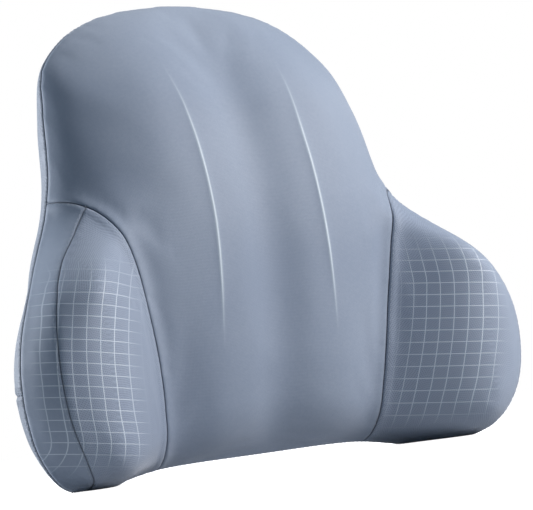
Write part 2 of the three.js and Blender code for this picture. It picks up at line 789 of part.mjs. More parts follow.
function buildStrap(name, height) {
  const group = new THREE.Group();
  group.position.set(0, backPlane, height);
  const socketBar = socketLength + barSlot + barRadius;
  const plugBar = plugBaseLength + barSlot + barRadius;
  const strip = (points) => slabAlongZ(
    bandShape(points, strapThickness), -strapWidth / 2, strapWidth / 2);
  const socketStrap = meshFrom(
    `${name}_strap_left`, strip(mirrored(webbingLine(socketBar, []))), finishes.webbing);
  const plugStrap = meshFrom(
    `${name}_strap_right`, strip(webbingLine(plugBar, adjusterLift())), finishes.webbing);
  group.add(socketStrap, plugStrap);
  const buckle = new THREE.Group();
  buckle.position.y = strapMiddle;
  buckle.add(meshFrom(`${name}_buckle_socket`, buildSocket(), finishes.plastic));
  buckle.add(meshFrom(`${name}_buckle_plug`, buildPlug(), finishes.plastic));
  buckle.add(meshFrom(`${name}_latch_top`, buildLatch(1), finishes.plastic));
  buckle.add(meshFrom(`${name}_latch_bottom`, buildLatch(-1), finishes.plastic));
  group.add(buckle);
  const adjuster = meshFrom(`${name}_strap_adjuster`, buildAdjuster(), finishes.plastic);
  adjuster.position.set(
    adjusterPosition, strapMiddle + strapThickness / 2 + seatGap + adjusterThickness / 2, 0);
  group.add(adjuster);
  return group;
}

// ---------------------------------------------------------------- assembly

const cushion = new THREE.Group();
cushion.add(...buildCover(), ...buildFilling(), buildZip());
Object.entries(strapHeights).forEach(([name, height]) => cushion.add(buildStrap(name, height)));

// The relief was softened, so the box is measured before it is centred.
const depthMiddle = new THREE.Box3().setFromObject(cushion).getCenter(new THREE.Vector3()).y;
cushion.position.y = -depthMiddle;

export default cushion;
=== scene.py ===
"""Winged lumbar support cushion: the visible pieces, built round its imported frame.

Sizes in the size classes are millimetres; every mesh is in metres, in the frame's own
axes: +X to the right seen from the front, the front towards -Y, the flat back towards
+Y, and +Z up from the surface that the cushion stands on.
"""

from __future__ import annotations

import logging
import math
import sys
from collections.abc import Callable, Sequence
from dataclasses import dataclass, field
from enum import Enum

import bpy
import numpy as np
from mathutils import Matrix, Vector
from mathutils.bvhtree import BVHTree

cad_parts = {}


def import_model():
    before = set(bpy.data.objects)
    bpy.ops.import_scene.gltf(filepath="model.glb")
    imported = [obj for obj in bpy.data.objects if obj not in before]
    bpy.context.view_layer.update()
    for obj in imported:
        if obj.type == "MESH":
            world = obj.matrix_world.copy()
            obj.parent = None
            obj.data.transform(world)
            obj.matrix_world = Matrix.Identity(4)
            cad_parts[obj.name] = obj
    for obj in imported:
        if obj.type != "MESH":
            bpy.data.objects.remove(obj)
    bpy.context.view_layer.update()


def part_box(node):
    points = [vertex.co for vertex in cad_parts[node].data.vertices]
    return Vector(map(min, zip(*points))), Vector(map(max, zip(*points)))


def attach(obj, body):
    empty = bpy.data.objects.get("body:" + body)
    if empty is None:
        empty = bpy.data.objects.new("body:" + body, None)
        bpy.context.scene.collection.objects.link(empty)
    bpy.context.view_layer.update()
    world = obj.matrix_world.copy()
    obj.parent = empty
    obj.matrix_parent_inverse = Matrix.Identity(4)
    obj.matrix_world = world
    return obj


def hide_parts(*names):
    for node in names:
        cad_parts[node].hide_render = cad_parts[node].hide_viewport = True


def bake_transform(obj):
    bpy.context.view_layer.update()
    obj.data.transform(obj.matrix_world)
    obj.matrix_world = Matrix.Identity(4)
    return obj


LOG = logging.getLogger("lumbar_cushion")
MM = 0.001
CUSHION = "cushion"

Array = np.ndarray
Piece = bpy.types.Object
Material = bpy.types.Material
Keys = Sequence[tuple[float, float]]
Colour = tuple[float, float, float]
Place = tuple[float, float, float]


class Side(Enum):
    """The two sides, seen from the front."""

    LEFT = -1
    RIGHT = 1

    @property
    def word(self) -> str:
        """The side's name in a piece name."""
        return self.name.lower()


class Level(Enum):
    """The two back straps."""

    LOWER = "lower"
    UPPER = "upper"


# ------------------------------------------------------------------ curves and profiles


def smoothstep(value: Array, low: float | Array, high: float | Array) -> Array:
    """Rises smoothly from 0 at low to 1 at high."""
    share = np.clip((value - low) / (high - low), 0.0, 1.0)
    return share * share * (3 - 2 * share)


def level_profile(keys: Keys) -> Callable[[Array], Array]:
    """Makes a smooth curve through keys that is level beyond its ends.

    Args:
        keys: Pairs of position and value, with positions rising.

    Returns:
        A function from positions to values.
    """
    at, value = (np.array(column, float) for column in zip(*keys))
    slopes = np.zeros(len(at))
    for i in range(1, len(at) - 1):
        if (value[i] - value[i - 1]) * (value[i + 1] - value[i]) > 0:
            slopes[i] = (value[i + 1] - value[i - 1]) / (at[i + 1] - at[i - 1])

    def profile(position: Array) -> Array:
        """The curve's values at these positions."""
        after = np.clip(np.searchsorted(at, position), 1, len(at) - 1)
        before = after - 1
        span = at[after] - at[before]
        t = np.clip((position - at[before]) / span, 0.0, 1.0)
        rise = (value[after] - value[before]) * t * t * (3 - 2 * t)
        lead = t * (1 - t) ** 2 * span * slopes[before]
        tail = t * t * (t - 1) * span * slopes[after]
        return value[before] + rise + lead + tail

    return profile


def spline_through(points: Array, closed: bool, steps: int) -> Array:
    """Runs a smooth curve through points.

    Args:
        points: The points, one to a row.
        closed: Whether the curve returns to its first point.
        steps: Samples from each point to the next.

    Returns:
        The samples, without the first repeated where the curve is closed.
    """
    count = len(points)
    t = np.linspace(0, 1, steps, endpoint=False)[:, None]
    pieces = []
    for i in range(count if closed else count - 1):
        near = [i - 1, i, i + 1, i + 2]
        picked = [n % count for n in near] if closed else [min(max(n, 0), count - 1) for n in near]
        p0, p1, p2, p3 = points[picked]
        v0, v1 = (p2 - p0) / 2, (p3 - p1) / 2
        cubic = (2 * p1 - 2 * p2 + v0 + v1) * t**3
        pieces.append(cubic + (-3 * p1 + 3 * p2 - 2 * v0 - v1) * t**2 + v0 * t + p1)
    if not closed:
        pieces.append(points[-1:])
    return np.concatenate(pieces)


def evenly_along(points: Array, count: int, closed: bool = False) -> Array:
    """Places points at even distances along a line.

    Args:
        points: The line's points, one to a row.
        count: How many points to place.
        closed: Whether the line returns to its first point, which isn't then repeated.

    Returns:
        The new points.
    """
    line = np.concatenate([points, points[:1]]) if closed else points
    lengths = np.linalg.norm(np.diff(line, axis=0), axis=1)
    run = np.concatenate([[0.0], np.cumsum(lengths)])
    wanted = np.linspace(0, run[-1], count + 1 if closed else count)[:count]
    return np.stack([np.interp(wanted, run, line[:, k]) for k in range(line.shape[1])], axis=1)


# ------------------------------------------------------------------ form of the cushion


# Lines of the right half in the front view, as shares of the half width and of the height.
OUTLINE_SHARES = (
    (0.364, 0.968), (0.577, 0.876), (0.640, 0.753), (0.710, 0.543), (0.934, 0.353),
    (1.004, 0.213), (0.954, 0.067),
)
MAIN_SEAM_SHARES = (
    (0.426, -0.077), (0.434, 0.0), (0.451, 0.118), (0.472, 0.233), (0.498, 0.335),
    (0.532, 0.435), (0.580, 0.512), (0.627, 0.551), (0.700, 0.576), (0.860, 0.598),
    (1.106, 0.609),
)
CREST_SEAM_SHARES = (
    (0.627, 0.551), (0.706, 0.497), (0.806, 0.435), (0.882, 0.372), (0.925, 0.300),
    (0.937, 0.215), (0.918, 0.125), (0.863, 0.049), (0.790, -0.010), (0.740, -0.077),
)


@dataclass
class CushionForm:
    """The moulded shape, as depths in front of the flat back, in millimetres."""

    width: float = 470.0
    height: float = 391.0
    depth: float = 148.0
    back_plane: float = 65.45
    wing_edge_radius: float = 46.0
    top_edge_radius: float = 15.0
    shoulder_rounding: float = 92.0
    top_rounding: float = 62.0
    top_edge_depth: float = 12.0
    waist_edge_depth: float = 40.0
    bottom_edge_depth: float = 54.0
    ridge_offset: float = 54.0
    channel_half_width: float = 26.0
    channel_depth: float = 9.0
    valley_drop: float = 9.0
    lumbar_depth: float = 111.0
    wing_start: float = 150.0
    wing_full_share: float = 0.352
    wing_top_share: float = 0.606
    wing_rise: float = 55.0
    wing_crease: float = 0.5
    edge_flare_start: float = 140.0
    wing_back_clear: float = 18.0
    foot_flattening: float = 4.0
    foot_middle: float = 182.0
    foot_inner: float = 97.0
    arch_rise: float = 6.5
    bottom_rise: float = 7.5
    hub_share: float = 0.47

    def __post_init__(self) -> None:
        """Works out the profiles that the sizes give."""
        h, lumbar = self.height, self.lumbar_depth
        self.half_width = self.width / 2
        self.ridge = level_profile(
            [(0, 0.80 * lumbar), (0.22 * h, 0.94 * lumbar), (0.47 * h, lumbar),
             (0.74 * h, 0.83 * lumbar), (h, 0.42 * lumbar)])
        self.edge_profile = level_profile(
            [(0, self.bottom_edge_depth), (0.3 * h, self.waist_edge_depth),
             (0.6 * h, self.waist_edge_depth), (h, self.top_edge_depth)])
        self.back_rounding = level_profile(
            [(0.43 * h, self.wing_edge_radius), (0.75 * h, self.top_edge_radius + 6),
             (h, self.top_edge_radius)])
        self.front_rounding = level_profile(
            [(0.40 * h, self.wing_edge_radius), (0.66 * h, self.shoulder_rounding),
             (0.85 * h, self.shoulder_rounding), (h, self.top_rounding)])
        self.valley = level_profile(
            [(z * h, x * self.half_width) for x, z in MAIN_SEAM_SHARES[:8]])

    def wing_share(self, z: Array) -> Array:
        """How much of the wing is there at a height: all low down, none above."""
        return 1 - smoothstep(z / self.height, self.wing_full_share, self.wing_top_share)

    def front_depth(self, x: Array, z: Array) -> Array:
        """Depth of the open front in front of the flat back."""
        side, valley = np.abs(x), self.valley(z)
        channel = self.channel_depth * np.exp(-((side / self.channel_half_width) ** 2))
        drop = self.valley_drop * smoothstep(side, self.ridge_offset, valley)
        body = self.ridge(z) - channel - drop
        crest = np.maximum(self.half_width - self.wing_edge_radius, valley + self.wing_rise)
        way = np.clip((side - valley) / (crest - valley), 0.0, 1.0)
        direct = 1 - (1 - way) ** 2
        rise = smoothstep(way, 0.0, 1.0)
        wing = (rise + (direct - rise) * self.wing_crease) * self.wing_share(z)
        return body + (self.depth - body) * wing

    def back_depth(self, x: Array, z: Array) -> Array:
        """Depth of the rear face: flat, then forward behind the wings."""
        turn = smoothstep(np.abs(x), self.wing_start, self.half_width - self.wing_back_clear)
        return (self.depth - 2 * self.wing_edge_radius) * turn * self.wing_share(z)

    def edge_depth(self, x: Array, z: Array) -> Array:
        """Depth of the line round the edge where front and back meet."""
        flare = (np.abs(x) - self.edge_flare_start) / (self.half_width - self.edge_flare_start)
        low = self.edge_profile(z)
        wing = self.depth - self.wing_edge_radius
        return low + (wing - low) * np.clip(flare, 0, 1) * self.wing_share(z)

    def outline(self, count: int) -> Array:
        """The front view's outline as even points of x and z, clockwise from the top."""
        upper = [(x * self.half_width, z * self.height) for x, z in OUTLINE_SHARES]
        half = [*upper, (self.foot_middle, -self.foot_flattening), (self.foot_inner, self.arch_rise)]
        left = [(-x, z) for x, z in reversed(half)]
        loop = np.array([(0, self.height), *half, (0, self.bottom_rise), *left])
        return evenly_along(spline_through(loop, True, 40), count, closed=True)

    def skin(self, columns: int, rows: int) -> tuple[Array, list[tuple[int, ...]]]:
        """Makes the closed outer surface as rings from the front hub to the back hub.

        Args:
            columns: Points in each ring.
            rows: Rings over the open front, which sets the other counts too.

        Returns:
            The points in millimetres and the faces.
        """
        edge = self.outline(columns)
        hub = np.array([0.0, self.hub_share * self.height])
        arm = hub - edge
        length = np.linalg.norm(arm, axis=1)
        rounding, behind = self.front_rounding(edge[:, 1]), self.back_rounding(edge[:, 1])
        at_edge = self.edge_depth(edge[:, 0], edge[:, 1])
        rings = []

        def add_ring(inward: Array, depth_at: Callable, turn: float) -> None:
            """Adds the ring that lies inward of the edge, turned from it by an angle."""
            place = edge + arm * (inward / length)[:, None]
            x, z = place[:, 0], place[:, 1]
            depth = at_edge + (depth_at(x, z) - at_edge) * math.sin(turn)
            rings.append(np.stack([x, self.back_plane - depth, np.maximum(z, 0)], axis=1))

        quarter = math.pi / 2
        turns = rows // 3
        for i in range(1, rows):
            add_ring(length + (rounding - length) * i / rows, self.front_depth, quarter)
        for i in range(turns, -1, -1):
            turn = quarter * i / turns
            add_ring(rounding * (1 - math.cos(turn)), self.front_depth, turn)
        for i in range(1, turns + 1):
            turn = quarter * i / turns
            add_ring(behind * (1 - math.cos(turn)), self.back_depth, turn)
        for i in range(1, rows):
            add_ring(behind + (length - behind) * i / rows, self.back_depth, quarter)

        middle_x, middle_z = np.array([0.0]), np.array([hub[1]])
        poles = [(0.0, self.back_plane - float(depth(middle_x, middle_z)[0]), hub[1])
                 for depth in (self.front_depth, self.back_depth)]
        points = np.concatenate([*rings, np.array(poles)])
        front_pole, back_pole = len(points) - 2, len(points) - 1
        last = (len(rings) - 1) * columns
        faces = []
        for step in range(columns):
            after = (step + 1) % columns
            faces.append((front_pole, after, step))
            faces.append((back_pole, last + step, last + after))
            for ring in range(len(rings) - 1):
                low, high = ring * columns, (ring + 1) * columns
                faces.append((low + step, low + after, high + after, high + step))
        return points, faces


# ------------------------------------------------------------------ mesh helpers


def deselect_all() -> None:
    """Leaves nothing selected, so that an operator acts only on what is picked next."""
    if bpy.context.mode != "OBJECT":
        bpy.ops.object.mode_set(mode="OBJECT")
    bpy.ops.object.select_all(action="DESELECT")


def pick(piece: Piece) -> None:
    """Makes piece the one selected, active object."""
    deselect_all()
    piece.select_set(True)
    bpy.context.view_layer.objects.active = piece


def apply_modifier(piece: Piece, kind: str, **settings: object) -> None:
    """Adds a modifier with these settings and applies it to the mesh.

    Args:
        piece: The object to change.
        kind: The modifier's type.
        settings: Values for the modifier's own properties.
    """
    pick(piece)
    modifier = piece.modifiers.new(kind.title(), kind)
    for name, value in settings.items():
        setattr(modifier, name, value)
    bpy.ops.object.modifier_apply(modifier=modifier.name)


def mesh_object(
    name: str,
    points: Array,
    faces: Sequence[Sequence[int]] | Array,
    smooth: bool = True,
) -> Piece:
    """Makes an object from points in millimetres and faces.

    Args:
        name: The piece's name.
        points: One point to a row, in millimetres.
        faces: Point numbers of each face.
        smooth: Whether the faces are shaded smooth.

    Returns:
        The linked object.
    """
    mesh = bpy.data.meshes.new(name)
    listed = faces.tolist() if isinstance(faces, Array) else [list(face) for face in faces]
    mesh.from_pydata((np.asarray(points) * MM).tolist(), [], listed)
    mesh.polygons.foreach_set("use_smooth", [smooth] * len(mesh.polygons))
    mesh.update()
    piece = bpy.data.objects.new(name, mesh)
    bpy.context.scene.collection.objects.link(piece)
    return piece


def points_of(piece: Piece) -> Array:
    """The mesh's points in millimetres, one to a row."""
    flat = np.empty(len(piece.data.vertices) * 3)
    piece.data.vertices.foreach_get("co", flat)
    return flat.reshape(-1, 3) / MM


def set_points(piece: Piece, points: Array) -> None:
    """Moves the mesh's points to these places, in millimetres."""
    piece.data.vertices.foreach_set("co", (points * MM).ravel())
    piece.data.update()


def remove(piece: Piece) -> None:
    """Deletes a helper object with its mesh."""
    mesh = piece.data
    bpy.data.objects.remove(piece)
    bpy.data.meshes.remove(mesh)


def paint(piece: Piece, name: str, values: Array) -> None:
    """Stores one number for each point of the mesh as a named attribute."""
    attribute = piece.data.attributes.new(name, "FLOAT", "POINT")
    attribute.data.foreach_set("value", values.astype(np.float32))


def lay_uv(piece: Piece, name: str, uv: Array) -> None:
    """Stores a UV map from one pair of numbers for each point of the mesh."""
    corners = np.empty(len(piece.data.loops), np.int32)
    piece.data.loops.foreach_get("vertex_index", corners)
    layer = piece.data.uv_layers.new(name=name)
    layer.data.foreach_set("uv", uv[corners].astype(np.float32).ravel())


def face_outwards(piece: Piece, smooth_angle: float) -> None:
    """Turns every face outwards and shades edges flatter than an angle smooth.

    Args:
        piece: The object to change.
        smooth_angle: The angle in degrees.
    """
    pick(piece)
    bpy.ops.object.mode_set(mode="EDIT")
    bpy.ops.mesh.select_all(action="SELECT")
    bpy.ops.mesh.normals_make_consistent(inside=False)
    bpy.ops.object.mode_set(mode="OBJECT")
    bpy.ops.object.shade_smooth_by_angle(angle=math.radians(smooth_angle))


def place_piece(
    piece: Piece,
    body: str,
    material: Material,
    replaced: Sequence[str] = (),
) -> Piece:
    """Dresses a finished piece and lets it ride on its body.

    Args:
        piece: The finished object.
        body: The body that it moves with.
        material: Its finish.
        replaced: The frame's nodes that it stands for.

    Returns:
        The same object.
    """
    piece.data.materials.clear()
    piece.data.materials.append(material)
    if body:
        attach(piece, body)
    if replaced:
        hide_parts(*replaced)
    LOG.info("%s: %d faces, moves with %s", piece.name, len(piece.data.polygons), body or "two bodies")
    return piece


# ------------------------------------------------------------------ skin that can be cut


# A point within this share of an edge moves onto a cut instead of splitting the edge.
SNAP_SHARE = 0.22
ON_LINE = 1e-7
UV_FIELDS = ("cloth", "check")


@dataclass
class Skin:
    """A closed mesh of triangles with named numbers at its points, in millimetres."""

    points: Array
    faces: Array
    fields: dict[str, Array] = field(default_factory=dict)
    settled: Array = field(init=False)

    def __post_init__(self) -> None:
        """Starts with no point settled on a cut."""
        self.settled = np.zeros(len(self.points), bool)

    @classmethod
    def of(cls, piece: Piece) -> Skin:
        """Takes the mesh of an object, with its faces as triangles."""
        piece.data.calc_loop_triangles()
        faces = np.empty(len(piece.data.loop_triangles) * 3, np.int32)
        piece.data.loop_triangles.foreach_get("vertices", faces)
        return cls(points_of(piece), faces.reshape(-1, 3).astype(np.int64))

    def normals(self) -> Array:
        """Unit normals at the points."""
        a, b, c = (self.points[self.faces[:, k]] for k in range(3))
        flat = np.cross(b - a, c - a)
        total = np.zeros_like(self.points)
        for k in range(3):
            np.add.at(total, self.faces[:, k], flat)
        return total / np.maximum(np.linalg.norm(total, axis=1), 1e-12)[:, None]

    def middle(self, name: str) -> Array:
        """The mean of a field over each face."""
        return self.fields[name][self.faces].mean(axis=1)

    def cut(self, name: str, level: float, where: Array) -> None:
        """Runs edges along the line where a field has a level.

        A point that is already close to the line moves onto it, unless it is settled on
        an earlier cut, so that few slivers are left.

        Args:
            name: The field.
            level: The field's value on the line.
            where: Which faces the line may cross.
        """
        pairs = np.sort(self.faces[:, [0, 1, 1, 2, 2, 0]].reshape(-1, 2), axis=1)
        edges, of_face = np.unique(pairs, axis=0, return_inverse=True)
        of_face = of_face.reshape(-1, 3)
        allowed = np.zeros(len(edges), bool)
        allowed[of_face[where].ravel()] = True
        value = self.fields[name] - level
        value[np.abs(value) < ON_LINE] = 0.0

        def crossing() -> Array:
            """Which allowed edges the line crosses."""
            return allowed & (value[edges[:, 0]] * value[edges[:, 1]] < 0)

        crossed = np.flatnonzero(crossing())
        low, high = edges[crossed].T
        share = value[low] / (value[low] - value[high])
        for near, far, part in ((low, high, share), (high, low, 1 - share)):
            chosen = (part < SNAP_SHARE) & ~self.settled[near]
            movers, first = np.unique(near[chosen], return_index=True)
            partners, t = far[chosen][first], part[chosen][first][:, None]
            self.points[movers] += (self.points[partners] - self.points[movers]) * t
            for values in self.fields.values():
                values[movers] += (values[partners] - values[movers]) * t[:, 0]
            self.fields[name][movers] = level
            value[movers] = 0.0
            self.settled[movers] = True

        marked = crossing()
        crossed = np.flatnonzero(marked)
        low, high = edges[crossed].T
        t = value[low] / (value[low] - value[high])
        number = np.full(len(edges), -1)
        number[crossed] = len(self.points) + np.arange(len(crossed))
        added = self.points[low] + (self.points[high] - self.points[low]) * t[:, None]
        self.points = np.concatenate([self.points, added])
        for key, values in self.fields.items():
            mixed = values[low] + (values[high] - values[low]) * t
            if key == name:
                mixed[:] = level
            self.fields[key] = np.concatenate([values, mixed])
        self.settled = np.concatenate([self.settled, np.ones(len(crossed), bool)])
        self.faces = self._split(number[of_face])

    def _split(self, new: Array) -> Array:
        """Splits each face at the new points on its edges.

        Args:
            new: For each face the new point on each of its edges, or -1.

        Returns:
            All faces.
        """
        count = (new >= 0).sum(axis=1)
        made = [self.faces[count == 0]]
        for turn in range(3):
            order = [turn, (turn + 1) % 3, (turn + 2) % 3]
            a, b, c = self.faces[:, order].T
            on_ab, on_bc, on_ca = new[:, order].T
            one = (count == 1) & (on_ab >= 0)
            made.append(np.stack([a, on_ab, c], axis=1)[one])
            made.append(np.stack([on_ab, b, c], axis=1)[one])
            two = (count == 2) & (on_ab < 0)
            made.append(np.stack([on_bc, c, on_ca], axis=1)[two])
            made.append(np.stack([a, b, on_bc], axis=1)[two])
            made.append(np.stack([a, on_bc, on_ca], axis=1)[two])
        return np.concatenate(made)

    def lines_at(self, name: str, level: float, where: Array) -> list[Array]:
        """Finds the lines of edges that an earlier cut ran along a level.

        Args:
            name: The field that was cut.
            level: The level that it was cut at.
            where: Which faces to look at.

        Returns:
            Point numbers of each line, in order, longest line first.
        """
        faces = self.faces[where]
        pairs = np.sort(faces[:, [0, 1, 1, 2, 2, 0]].reshape(-1, 2), axis=1)
        on = np.abs(self.fields[name] - level) < ON_LINE
        pairs = np.unique(pairs[on[pairs].all(axis=1)], axis=0)
        beside: dict[int, list[int]] = {}
        for a, b in pairs.tolist():
            beside.setdefault(a, []).append(b)
            beside.setdefault(b, []).append(a)
        lines, seen = [], set()
        starts = sorted(beside, key=lambda point: (len(beside[point]) != 1, point))
        for start in starts:
            if start in seen:
                continue
            line = [start]
            seen.add(start)
            while True:
                onward = [n for n in beside[line[-1]] if n not in seen]
                if not onward:
                    break
                line.append(onward[0])
                seen.add(onward[0])
            if len(line) > 2:
                if line[0] in beside[line[-1]]:
                    line.append(line[0])
                lines.append(np.array(line))
        return sorted(lines, key=len, reverse=True)

    def part(self, name: str, keep: Array, attributes: Sequence[str]) -> Piece:
        """Makes an object of some of the faces, with its UV maps and attributes.

        Args:
            name: The piece's name.
            keep: Which faces to take.
            attributes: The fields to store on the mesh.

        Returns:
            The object.
        """
        used, faces = np.unique(self.faces[keep], return_inverse=True)
        piece = mesh_object(name, self.points[used], faces.reshape(-1, 3))
        for attribute in attributes:
            paint(piece, attribute, self.fields[attribute][used])
        for uv in UV_FIELDS:
            pair = [self.fields[f"{uv}_{axis}"][used] * MM for axis in "uv"]
            lay_uv(piece, uv, np.stack(pair, axis=1))
        return piece


# ------------------------------------------------------------------ seams


@dataclass
class SeamLine:
    """A line in the front view that cloth is sewn along, right of the middle."""

    shares: Keys
    form: CushionForm
    outside_turns: int

    def __post_init__(self) -> None:
        """Lays the line's points, in millimetres."""
        scale = np.array([self.form.half_width, self.form.height])
        self.points = spline_through(np.array(self.shares) * scale, False, 8)

    def measure(self, x: Array, z: Array) -> tuple[Array, Array, Array]:
        """Measures from the line in the front view, alike on both sides.

        Args:
            x: Places across, in millimetres.
            z: Places up.

        Returns:
            The distance, positive outwards, the unit direction of that distance and how
            far along the line the nearest place is.
        """
        place = np.stack([np.abs(x), z], axis=1)
        best = np.full(len(place), np.inf)
        signed, along = np.zeros(len(place)), np.zeros(len(place))
        away = np.zeros_like(place)
        run = 0.0
        for a, b in zip(self.points, self.points[1:]):
            step = b - a
            length = float(np.linalg.norm(step))
            t = np.clip((place - a) @ step / length**2, 0, 1)
            offset = place - a - t[:, None] * step
            distance = np.linalg.norm(offset, axis=1)
            closer = distance < best
            turn = step[0] * (place[:, 1] - a[1]) - step[1] * (place[:, 0] - a[0])
            sign = np.where(turn * self.outside_turns >= 0, 1.0, -1.0)
            best[closer] = distance[closer]
            signed[closer] = (distance * sign)[closer]
            along[closer] = run + t[closer] * length
            side = np.array([-step[1], step[0]]) / length * self.outside_turns
            away[closer] = side
            run += length
        return signed, away, along


# ------------------------------------------------------------------ soft body


@dataclass
class SoftBody:
    """The whole padded form: meshed evenly, then puffed by a cloth simulation."""

    form: CushionForm
    seams: dict[str, SeamLine]
    columns: int = 300
    rows: int = 42
    voxel: float = 5.0
    shrink: float = 1.6
    seam_hold: float = 9.0
    pressure: float = 4.0
    frames: int = 20
    most_moved: float = 3.0

    def build(self) -> Piece:
        """Makes the closed body, ready to be cut into panels.

        Returns:
            A helper object that is deleted once the panels are made.
        """
        points, faces = self.form.skin(self.columns, self.rows)
        smooth_form = mesh_object("form", points, faces)
        body = mesh_object("body", points, faces)
        apply_modifier(body, "REMESH", mode="VOXEL", voxel_size=self.voxel * MM)
        apply_modifier(body, "SHRINKWRAP", target=smooth_form)
        apply_modifier(body, "SMOOTH", factor=0.5, iterations=4)
        self._puff(body)
        apply_modifier(body, "SUBSURF", levels=1, render_levels=1)
        remove(smooth_form)
        return body

    def _puff(self, body: Piece) -> None:
        """Blows the cloth out between its seams, from a slightly smaller shape.

        Args:
            body: The evenly meshed body.
        """
        skin = Skin.of(body)
        normals = skin.normals()
        x, y, z = skin.points.T
        gap = np.full(len(x), np.inf)
        front = self.form.back_plane - y > self.form.edge_depth(x, z)
        for seam in self.seams.values():
            distance = np.abs(seam.measure(x, z)[0])
            gap = np.minimum(gap, np.where(front, distance, np.inf))
        rim = np.abs(self.form.back_plane - y - self.form.edge_depth(x, z))
        gap = np.minimum(gap, rim)
        on_back = y > self.form.back_plane - 0.5
        held = np.maximum(1 - gap / self.seam_hold, 0)
        held[on_back | (z < 0.5)] = 1.0
        start = skin.points - normals * self.shrink * (1 - held)[:, None]
        set_points(body, start)
        group = body.vertex_groups.new(name="held")
        for index in np.flatnonzero(held > 0).tolist():
            group.add([index], float(held[index]), "REPLACE")
        pick(body)
        modifier = body.modifiers.new("Cloth", "CLOTH")
        cloth = modifier.settings
        cloth.quality = 4
        cloth.vertex_group_mass = group.name
        cloth.use_pressure = True
        cloth.uniform_pressure_force = self.pressure
        cloth.effector_weights.gravity = 0
        modifier.point_cache.frame_start = 1
        modifier.point_cache.frame_end = self.frames
        for frame in range(1, self.frames + 1):
            bpy.context.scene.frame_set(frame)
        bpy.ops.object.modifier_apply(modifier=modifier.name)
        bpy.context.scene.frame_set(1)
        moved = points_of(body) - start
        reach = np.linalg.norm(moved, axis=1)
        LOG.info("cloth moved %.2f mm on average and %.2f mm at most", reach.mean(), reach.max())
        moved *= np.minimum(1, self.most_moved / np.maximum(reach, 1e-9))[:, None]
        set_points(body, start + moved)
        apply_modifier(body, "SMOOTH", factor=0.5, iterations=3)


# ------------------------------------------------------------------ cover


@dataclass(frozen=True)
class Groove:
    """How a sewn line draws the cloth in and lets it swell beside the stitches."""

    depth: float
    width: float
    swell_outside: float
    swell_inside: float
    swell_at: float = 4.2
    pucker: float = 0.05
    pucker_pitch: float = 9.5
    swell_width: float = 2.6
    wander: float = 2.3
    wander_length: float = 31.0

    def lift(self, distance: Array, along: Array) -> Array:
        """How far the cloth stands out at a distance from the line.

        Args:
            distance: Distance from the line, positive outside.
            along: Place along the line.

        Returns:
            The lift in millimetres, negative in the groove.
        """
        wandering = along + self.wander * np.sin(along / self.wander_length)
        pucker = self.pucker * np.sin(2 * math.pi * wandering / self.pucker_pitch)
        near = np.exp(-((distance / self.width) ** 2))
        beside = np.exp(-(((np.abs(distance) - self.swell_at) / self.swell_width) ** 2))
        swell = np.where(distance > 0, self.swell_outside, self.swell_inside)
        return -self.depth * near + (swell + pucker) * beside


@dataclass(frozen=True)
class CheckLines:
    """Where the pale check lines of one wing lie, in millimetres across and up.

    Attributes:
        levels: Heights at which the upright lines are placed.
        columns: Place across of each upright line, from the seam outwards, at each level.
        rows: Height and number of some level lines; the others lie evenly between them.
        first: Line numbers over which the check fades in from the seam.
        last: Line numbers over which it fades out again.
        foot: Heights over which it fades in from the floor.
        top: Heights over which it fades out again.
        lean: How much higher the level lines lie with each column outwards.
        lean_from: The column at which the level lines have their own height.
    """

    levels: tuple[float, ...]
    columns: tuple[tuple[float, ...], ...]
    rows: Keys
    lean: float
    lean_from: float
    first: tuple[float, float]
    last: tuple[float, float]
    foot: tuple[float, float] = (8.0, 34.0)
    top: tuple[float, float] = (136.0, 178.0)

    def column(self, across: Array, z: Array) -> Array:
        """Number of the upright line at each place; fractions lie between lines.

        Args:
            across: Distances from the middle.
            z: Heights.

        Returns:
            The numbers.
        """
        lines = [level_profile(list(zip(self.levels, line)))(z) for line in zip(*self.columns)]
        places = np.stack(lines)
        below = np.clip((places < across).sum(axis=0) - 1, 0, len(lines) - 2)
        each = np.arange(len(across))
        low, high = places[below, each], places[below + 1, each]
        return below + (across - low) / (high - low)

    def row(self, column: Array, z: Array) -> Array:
        """Number of the level line at each place; the lines lean a little."""
        height = z - self.lean * (column - self.lean_from)
        return np.interp(height, *np.array(self.rows, float).T)

    def fade(self, column: Array, z: Array) -> Array:
        across = smoothstep(column, *self.first) * (1 - smoothstep(column, *self.last))
        return across * smoothstep(z, *self.foot) * (1 - smoothstep(z, *self.top))


